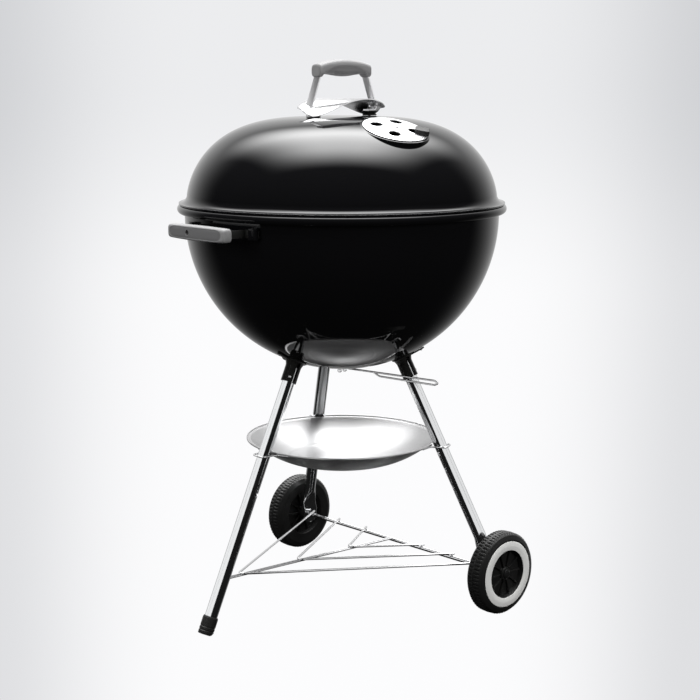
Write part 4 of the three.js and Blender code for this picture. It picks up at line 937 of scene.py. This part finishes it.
for name, azimuth, seam, button in (("foot", 180, 84, 47), ("front", -WHEEL_LEG_AZIMUTH, -38.5, 47),
                                    ("rear", WHEEL_LEG_AZIMUTH, 38.5, -47)):
    place = turn_z(azimuth) @ leg_place
    wall_at = SOCKET_BORE + SOCKET_WALL / 2
    lean = 1 if button > 0 else -1
    button_hole = placed(block(circle(0.0066, 28), -0.006, 0.006),
                         beside_leg(button, wall_at, socket_foot + 0.009))
    slots = [placed(block(rounded_rectangle(0.0062, 0.0022, 0.001), -0.006, 0.008),
                    beside_leg(button + lean * shift, wall_at, socket_foot + 0.0275)) for shift in (14, 34)]
    piece(f"socket_{name}_sleeve", [placed(socket_sleeve(seam), place)], black_steel, "base",
          [f"socket_{name}"], [placed(cutter, place) for cutter in (button_hole, *slots)])
    rivet_x = 0.0400
    rivet = placed(dome(0.0026, 0.0016), Matrix.Translation((rivet_x, 0, on_skin(rivet_x, 0, 0.0028)))
                   @ Matrix.Rotation(np.pi - 0.55, 4, "Y"))
    piece(f"socket_{name}_pad", [placed(part, place) for part in (socket_pad(), socket_tongue())],
          black_steel, "base", [])
    piece(f"socket_{name}_rivet", [placed(rivet, place)], bright, "base", [])
    piece(f"snap_button_{name}_head",
          [placed(dome(0.0028, 0.0026),
                  place @ beside_leg(button, SOCKET_BORE + 0.0024, socket_foot + 0.009))],
          bright, "base", [f"snap_button_{name}"])

# ---------------------------------------------------------------- ash pan
# The pan is a shallow spun dish of satin aluminium with a flat rim and a small upturned edge, and is
# notched round the legs. It rests on three bent wire clips, one through each leg.
PAN_RADIUS = 0.1795
PAN_RIM = 0.308
PAN_FLOOR = 0.255
PAN_SHEET = 0.0012
CLIP_WIRE = 0.003


def pan_line(radius, lift):
    """The dish's section: its height grows as the cube of the distance from the axis."""
    ring = 0.0005 * np.exp(-((radius - 0.105) / 0.0018) ** 2)
    bowed = (PAN_RIM - 0.003 - PAN_FLOOR) * (radius / 0.172) ** 3
    return np.stack([radius, PAN_FLOOR + lift + ring + bowed], axis=1)


pan_metal = Finish("satin_aluminium", "satin spun dish", Metallic=1.0)
pan_cloud = pan_metal.noise(9.0, 3.0).rising(0.3, 0.75)
pan_metal.set(Base_Color=pan_metal.mixed(pan_cloud, (0.58, 0.58, 0.585), (0.50, 0.50, 0.505)))
pan_lines = pan_metal.streaks(3.0, 1500.0, 2.0)
pan_metal.set(Roughness=0.27 + 0.10 * pan_lines + 0.06 * pan_cloud)
pan_metal.relief(pan_lines, 0.000022)
rim_under = PAN_RIM - 0.002
outside_line = pan_line(np.linspace(0, 0.171, 90), 0.0)
inside_line = pan_line(np.linspace(0.1705, 0, 90), PAN_SHEET)
rim_line = rounded([outside_line[-1], [0.173, rim_under - PAN_SHEET], [PAN_RADIUS, rim_under - PAN_SHEET],
                    [PAN_RADIUS, PAN_RIM], [PAN_RADIUS - PAN_SHEET, PAN_RIM],
                    [PAN_RADIUS - PAN_SHEET, rim_under], [0.172, rim_under], inside_line[0]], 0.0007, 5)
pan_profile = np.vstack([outside_line, rim_line[1:-1], inside_line])
leg_azimuths = {"foot": 180, "rear": WHEEL_LEG_AZIMUTH, "front": -WHEEL_LEG_AZIMUTH}
notches = [placed(tube(LEG_DIAMETER + 0.010, 0.20, 0.42, 40), turn_z(azimuth) @ leg_place)
           for azimuth in leg_azimuths.values()]
piece("ash_pan_spun", [turned(pan_profile, 240)], pan_metal, "ash_pan", ["ash_pan"], notches)

clip_level = rim_under - PAN_SHEET - 0.0004 - CLIP_WIRE / 2
clip_leg = leg_radius(clip_level)
half_clip = [(0.1695, 0.042, clip_level), (0.176, 0.019, clip_level), (clip_leg - 0.004, 0.0155, clip_level),
             (clip_leg + 0.0155, 0.0155, clip_level)]
clip = wire(half_clip + [(x, -y, z) for x, y, z in reversed(half_clip)], CLIP_WIRE, 0.008)
for name, azimuth in leg_azimuths.items():
    piece(f"pan_clip_{name}_wire", [placed(clip, turn_z(azimuth))], bright, "base", [f"pan_clip_{name}"])

# ---------------------------------------------------------------- axle and wire rack
# A steel axle joins the wheel legs. The rack is three nested V wires welded over a long hairpin that
# plugs into the foot leg; the ends of the Vs lie on the axle.
AXLE_DIAMETER = 0.008
WHEEL_Y = 0.2783
RACK_WIRE = 0.0042
SPINE_WIRE = 0.0032
rack_end_x = AXLE_X + 0.005
rack_end_z = AXLE_Z + AXLE_DIAMETER / 2 + 0.0003 + RACK_WIRE / 2


def on_rack(x, y, drop=0.0):
    """A point of the rack's plane, which climbs 3 in 100 towards the foot leg."""
    return (x, y, rack_end_z + (rack_end_x - x) * 0.03 - drop)


axle_end = WHEEL_Y + 0.019 - 0.0006
piece("axle_rod", [wire([(AXLE_X, -axle_end, AXLE_Z), (AXLE_X, axle_end, AXLE_Z)], AXLE_DIAMETER, count=32)],
      bright, "base", ["axle"])
rack = [wire([on_rack(rack_end_x, -end), on_rack(apex, 0), on_rack(rack_end_x, end)], RACK_WIRE, 0.008)
        for apex, end in ((-0.257, 0.237), (-0.117, 0.160), (0.014, 0.081))]
spine_drop = (RACK_WIRE + SPINE_WIRE) / 2 - 0.0005
spine_end = AXLE_X - AXLE_DIAMETER / 2 - 0.0007
spine_tip = -(leg_radius(on_rack(-0.280, 0)[2]) - 0.007)
rack.append(wire([on_rack(spine_end, -0.003, spine_drop), on_rack(spine_tip, -0.003, spine_drop),
                  on_rack(spine_tip, 0.003, spine_drop), on_rack(spine_end, 0.003, spine_drop)],
                 SPINE_WIRE, 0.0028))
piece("wire_rack_welded", rack, bright, "base", ["wire_rack"])

# ---------------------------------------------------------------- wheels
# Each wheel is one black moulding: a tread with a thin middle rib between two rows of lugs, and a
# recessed hub with ten ribs on each side. A plain white ring snaps into its face, and a small cap is
# pushed on the axle's end.
LUGS = 68


def wheel_half(half):
    """The section's corners from the bore on the inner face, out over the tread, to the outer face."""
    hub_in = -(WHEEL_Y - PLATE_Y - 0.0023 - 0.001)
    return np.array([
        [0.0043, hub_in], [0.0100, hub_in], [0.0115, -half + 0.010], [0.0415, -half + 0.012],
        [0.0455, -half + 0.0015], [0.0640, -half], [0.0715, -half + 0.0035], [0.0758, -half + 0.0085],
        [0.0762, 0.0], [0.0758, half - 0.0085], [0.0715, half - 0.0035], [0.0640, half],
        [0.0614, half], [0.0614, half - 0.0016], [0.0442, half - 0.0016], [0.0415, half - 0.0105],
        [0.0130, half - 0.0085], [0.0112, half - 0.003], [0.0043, half - 0.003]])


def evenly(path, spacing):
    """A path cut into steps of about one spacing along its own length."""
    step = np.linalg.norm(np.diff(path, axis=0), axis=1)
    length = np.concatenate([[0], np.cumsum(step)])
    at = np.linspace(0, length[-1], int(length[-1] / spacing))
    at = np.unique(np.concatenate([at, length]))
    return np.stack([np.interp(at, length, path[:, 0]), np.interp(at, length, path[:, 1])], axis=1)


def wheel_points():
    """The section carried round, with the lugs as grooves cut in to 1.3 mm by a squared cosine of
    the angle, the middle rib standing 0.4 mm, and the hub's ribs raised where the distance from a
    spoke's line is less than their half width."""
    half = 0.019
    section = evenly(rounded(wheel_half(half), 0.0012, 4), 0.0016)
    radius, level = section[:, :1], section[:, 1:]
    angle = np.linspace(0, 2 * np.pi, LUGS * 10, endpoint=False)[None, :]
    row = np.where(level > 0, 0.0, np.pi)
    groove = smooth(np.cos(angle * LUGS + row), 0.1, 0.75)
    in_row = smooth(np.abs(level), 0.0016, 0.0026) * (1 - smooth(np.abs(level), 0.0118, 0.0135))
    tread = smooth(radius, 0.0700, 0.0735)
    ring_groove = np.exp(-((np.abs(level) - 0.0018) / 0.0007) ** 2)
    rib = np.exp(-(level / 0.0008) ** 2)
    radius = radius + tread * (0.0002 * rib - 0.0013 * groove * in_row - 0.0008 * ring_groove)
    spoke = 2 * np.pi / 10
    off = np.abs((angle + spoke / 2) % spoke - spoke / 2) * radius
    spokes = (1 - smooth(off, 0.0010, 0.0017)) * smooth(section[:, :1], 0.0125, 0.0140)
    spokes = spokes * (1 - smooth(section[:, :1], 0.0400, 0.0425)) * (np.abs(level) < 0.0125)
    height = level + np.sign(level) * spokes * (0.0145 - np.abs(level)) * 0.85
    height = np.where(section[:, :1] < 0.0125, level, height)
    return np.stack(np.broadcast_arrays(radius * np.cos(angle), radius * np.sin(angle), height), axis=-1)


rubber = Finish("black_plastic", "black tyre moulding")
rubber_grain = rubber.noise(900.0, 3.0)
rubber.set(Base_Color=rubber.mixed(rubber.noise(24.0), (0.008, 0.008, 0.008), (0.018, 0.018, 0.0175)))
rubber.set(Roughness=0.34 + 0.20 * rubber_grain)
rubber.relief(rubber_grain, 0.00005)
white = Finish("white_plastic", "plain white plastic")
white_grain = white.noise(700.0, 2.0)
white.set(Base_Color=white.mixed(white.noise(20.0), (0.86, 0.86, 0.84), (0.80, 0.80, 0.78)))
white.set(Roughness=0.38 + 0.14 * white_grain)
white.relief(white_grain, 0.00003)
gloss = Finish("black_plastic", "glossy black cap", Base_Color=(0.012, 0.012, 0.012, 1.0))
gloss.set(Roughness=0.12 + 0.1 * gloss.noise(120.0))
gloss.relief(gloss.noise(400.0, 2.0), 0.00002)
wheel = grid(wheel_points(), wrap_rows=True, wrap_columns=True)
ring_profile = rounded([[0.0527, 0.0177], [0.0445, 0.0177], [0.0445, 0.0192], [0.0527, 0.0196],
                        [0.0611, 0.0192], [0.0611, 0.0177], [0.0527, 0.0177]], 0.0006, 5)[:-1]
ring = turned(ring_profile, 144, closed=True)
cap_face = 0.019
cap = turned(rounded([[0, cap_face - 0.0002], [0.0043, cap_face - 0.0002], [0.0043, cap_face - 0.0026],
                      [0.0085, cap_face - 0.0026], [0.0085, cap_face - 0.0010], [0.005, cap_face + 0.001],
                      [0, cap_face + 0.0014]], 0.0009, 6), 48)
for name, side in (("front", -1), ("rear", 1)):
    place = (Matrix.Translation((AXLE_X, side * WHEEL_Y, AXLE_Z))
             @ Matrix.Rotation(-side * np.pi / 2, 4, "X"))
    piece(f"wheel_{name}_moulded", [placed(wheel, place)], rubber, f"wheel_{name}", [f"wheel_{name}"])
    piece(f"wheel_{name}_white_ring", [placed(ring, place)], white, f"wheel_{name}",
          [f"wheel_ring_{name}"])
    piece(f"hub_cap_{name}_pushed", [placed(cap, place)], gloss, "base", [f"hub_cap_{name}"])

# ---------------------------------------------------------------- studio
# A pale seamless cove stands round the grill and glows by itself, but lights nothing. Its glow
# carries painted shade: darker up the wall than on the floor, and darker towards its sides as seen
# from the camera's bearing. Behind and above the grill is a bright wall that only the gloss sees,
# for the enamel's grey edges and white lid top.
CAMERA_AZIMUTH = -43.25
CAMERA_PITCH = 10.07
CAMERA_DISTANCE = 2.796
CAMERA_HEIGHT = 0.96755
away = Vector((0, 1, 0))
away.rotate(turn_z(CAMERA_AZIMUTH).to_euler())
rightwards = Vector((away.y, -away.x, 0))

cove = Finish("", "pale cove", Base_Color=(0.0, 0.0, 0.0, 1.0), Specular_IOR_Level=0.0,
              Roughness=0.9)
cove.set(Emission_Strength=1.0)


def cove_along(direction):
    """How far a point of the cove lies along a direction."""
    return cove.node("VectorMath", {"operation": "DOT_PRODUCT"}, {0: cove.place, 1: tuple(direction)},
                     output="Value")


# Painted shade on the cove: a vignette towards the sides by the camera's bearing, and a wall darker above
# the camera's eye level than the floor below it.
cove_depth = cove_along(away) + CAMERA_DISTANCE
cove_side = cove_along(rightwards) / cove_depth
cove_edge = (cove_side * cove_side).rising(0.008, 0.058)
cove_low = ((cove_along((0, 0, -1)) + CAMERA_HEIGHT) / cove_depth).rising(0.0, 0.15)
cove_painted_falloff = cove.mixed(cove_low, (0.84, 0.845, 0.86), (0.975, 0.975, 0.985))
cove_shade = cove.mixed(cove_edge, (1.0, 1.0, 1.0), (0.76, 0.765, 0.775))
cove.set(Emission_Color=cove.node("VectorMath", {"operation": "MULTIPLY"}, {0: cove_painted_falloff, 1: cove_shade}))
cove_profile = np.vstack([[[0, 0]], np.stack([np.linspace(0.2, 4.0, 20), np.zeros(20)], axis=1),
                          arc(4.0, 1.6, 1.6, -90, 0, 24), [[5.6, 6.0]]])
stage = bpy.data.objects.new("cove", meshed("cove", [turned(cove_profile, 96)]))
scene.collection.objects.link(stage)
stage.data.shade_smooth()
stage.data.materials.append(cove.material)
stage.visible_glossy = False
stage.visible_diffuse = False
stage.visible_shadow = False

world = bpy.data.worlds.new("studio")
scene.world = world
world.use_nodes = True
sky = world.node_tree
background = sky.nodes["Background"]
background.inputs["Color"].default_value = (1.0, 1.0, 1.0, 1.0)


def sky_node(kind, settings, sockets, output=0):
    """A node of the world's tree, with its settings and its sockets filled."""
    made = sky.nodes.new("ShaderNode" + kind)
    for setting, value in settings.items():
        setattr(made, setting, value)
    for socket, value in sockets.items():
        if hasattr(value, "is_output"):
            sky.links.new(value, made.inputs[socket])
        else:
            made.inputs[socket].default_value = value
    return made.outputs[output]


def sky_along(direction):
    """The part of the looking direction that lies along a direction."""
    return sky_node("VectorMath", {"operation": "DOT_PRODUCT"}, {0: looking, 1: tuple(direction)}, "Value")


def sky_step(value, dark, light):
    """A soft step from 0 at one value to 1 at the other."""
    return sky_node("MapRange", {"interpolation_type": "SMOOTHSTEP"}, {0: value, 1: dark, 2: light})


def sky_math(operation, *values):
    return sky_node("Math", {"operation": operation}, dict(enumerate(values)))


looking = sky_node("TexCoord", {}, {}, "Generated")
ahead = sky_along(away)
sideways = sky_math("ABSOLUTE", sky_along(rightwards))
lifted = sky_along((0, 0, 1))
bearing = sky_math("ARCTAN2", sideways, ahead)
wall = sky_math("MULTIPLY", sky_step(bearing, 1.30, 0.45),
                sky_math("MULTIPLY", sky_step(lifted, 0.90, 0.35), sky_step(lifted, -0.75, 0.15)))
rise = sky_math("ARCTAN2", lifted, ahead)
ceiling = sky_math("MULTIPLY", sky_step(sideways, 0.72, 0.10),
                   sky_math("MULTIPLY", sky_step(rise, 0.54, 1.00), sky_step(rise, 2.04, 1.42)))
glow = sky_math("MULTIPLY_ADD", wall, 0.8, 0.010)
sky.links.new(sky_math("MULTIPLY_ADD", ceiling, 8.5, glow), background.inputs["Strength"])


def softbox(name, place, aim, size, power, receivers=None):
    """An area light placed and aimed in metres to the right, away and up. With a collection of
    receivers it lights them alone and shows in their gloss, without one it leaves gloss alone."""
    lamp = bpy.data.lights.new(name, "AREA")
    lamp.shape = "RECTANGLE"
    lamp.size, lamp.size_y = size
    lamp.energy = power
    made = bpy.data.objects.new(name, lamp)
    scene.collection.objects.link(made)
    spots = [rightwards * x + away * y + Vector((0, 0, z)) for x, y, z in (place, aim)]
    made.location = spots[0]
    made.rotation_euler = (spots[0] - spots[1]).to_track_quat("Z", "Y").to_euler()
    made.visible_camera = False
    made.visible_glossy = receivers is not None
    if receivers is not None:
        made.light_linking.receiver_collection = receivers


MIDDLE = (0, 0, 0.5)
softbox("overhead", (-0.4, -0.6, 3.2), MIDDLE, (2.6, 2.6), 80)
softbox("fill_left", (-2.2, -2.2, 1.6), MIDDLE, (1.6, 1.6), 45)
softbox("fill_right", (2.4, -1.6, 1.4), MIDDLE, (1.4, 1.6), 45)

metal_finishes = (plated, bright, vent_metal, bar_metal, shield_metal, leg_metal, pan_metal)
metal_materials = [finish.material for finish in metal_finishes]
metal_pieces = [shown for shown in scene.objects
                if shown.type == "MESH" and shown.data.materials[0] in metal_materials]


def receivers_without(name, left_out=""):
    """A collection of the bright metal pieces, less the one left out."""
    made = bpy.data.collections.new(name)
    for shown in metal_pieces:
        if shown.name != left_out:
            made.objects.link(shown)
    return made


metals = receivers_without("bright metal")
metals_but_front = receivers_without("bright metal but the front leg", "leg_front_tube")
metals_but_foot = receivers_without("bright metal but the foot leg", "leg_foot_tube")
softbox("card_front_left", (-1.55, -1.3, 0.9), (-1.55, 0, 0.9), (2.4, 2.4), 17, metals_but_front)
softbox("card_front_right", (1.40, -1.3, 0.9), (1.40, 0, 0.9), (2.4, 2.4), 15, metals_but_foot)
softbox("card_left", (-2.8, 0.2, 0.9), (0, 0.2, 0.9), (2.9, 2.4), 20, metals)
softbox("card_right", (2.8, 0.2, 0.9), (0, 0.2, 0.9), (2.9, 2.4), 18, metals)
softbox("card_top", (0, 0.2, 2.6), (0, 0.2, 0), (3.4, 3.0), 13, metals)

camera = bpy.data.objects.new("camera", bpy.data.cameras.new("camera"))
scene.collection.objects.link(camera)
camera.location = away * -CAMERA_DISTANCE + rightwards * 0.01468 + Vector((0, 0, CAMERA_HEIGHT))
camera.rotation_euler = (np.radians(90 - CAMERA_PITCH), 0, np.radians(CAMERA_AZIMUTH))
camera.data.sensor_width = 36
camera.data.lens = 78.36
scene.camera = camera
scene.view_settings.view_transform = "Standard"
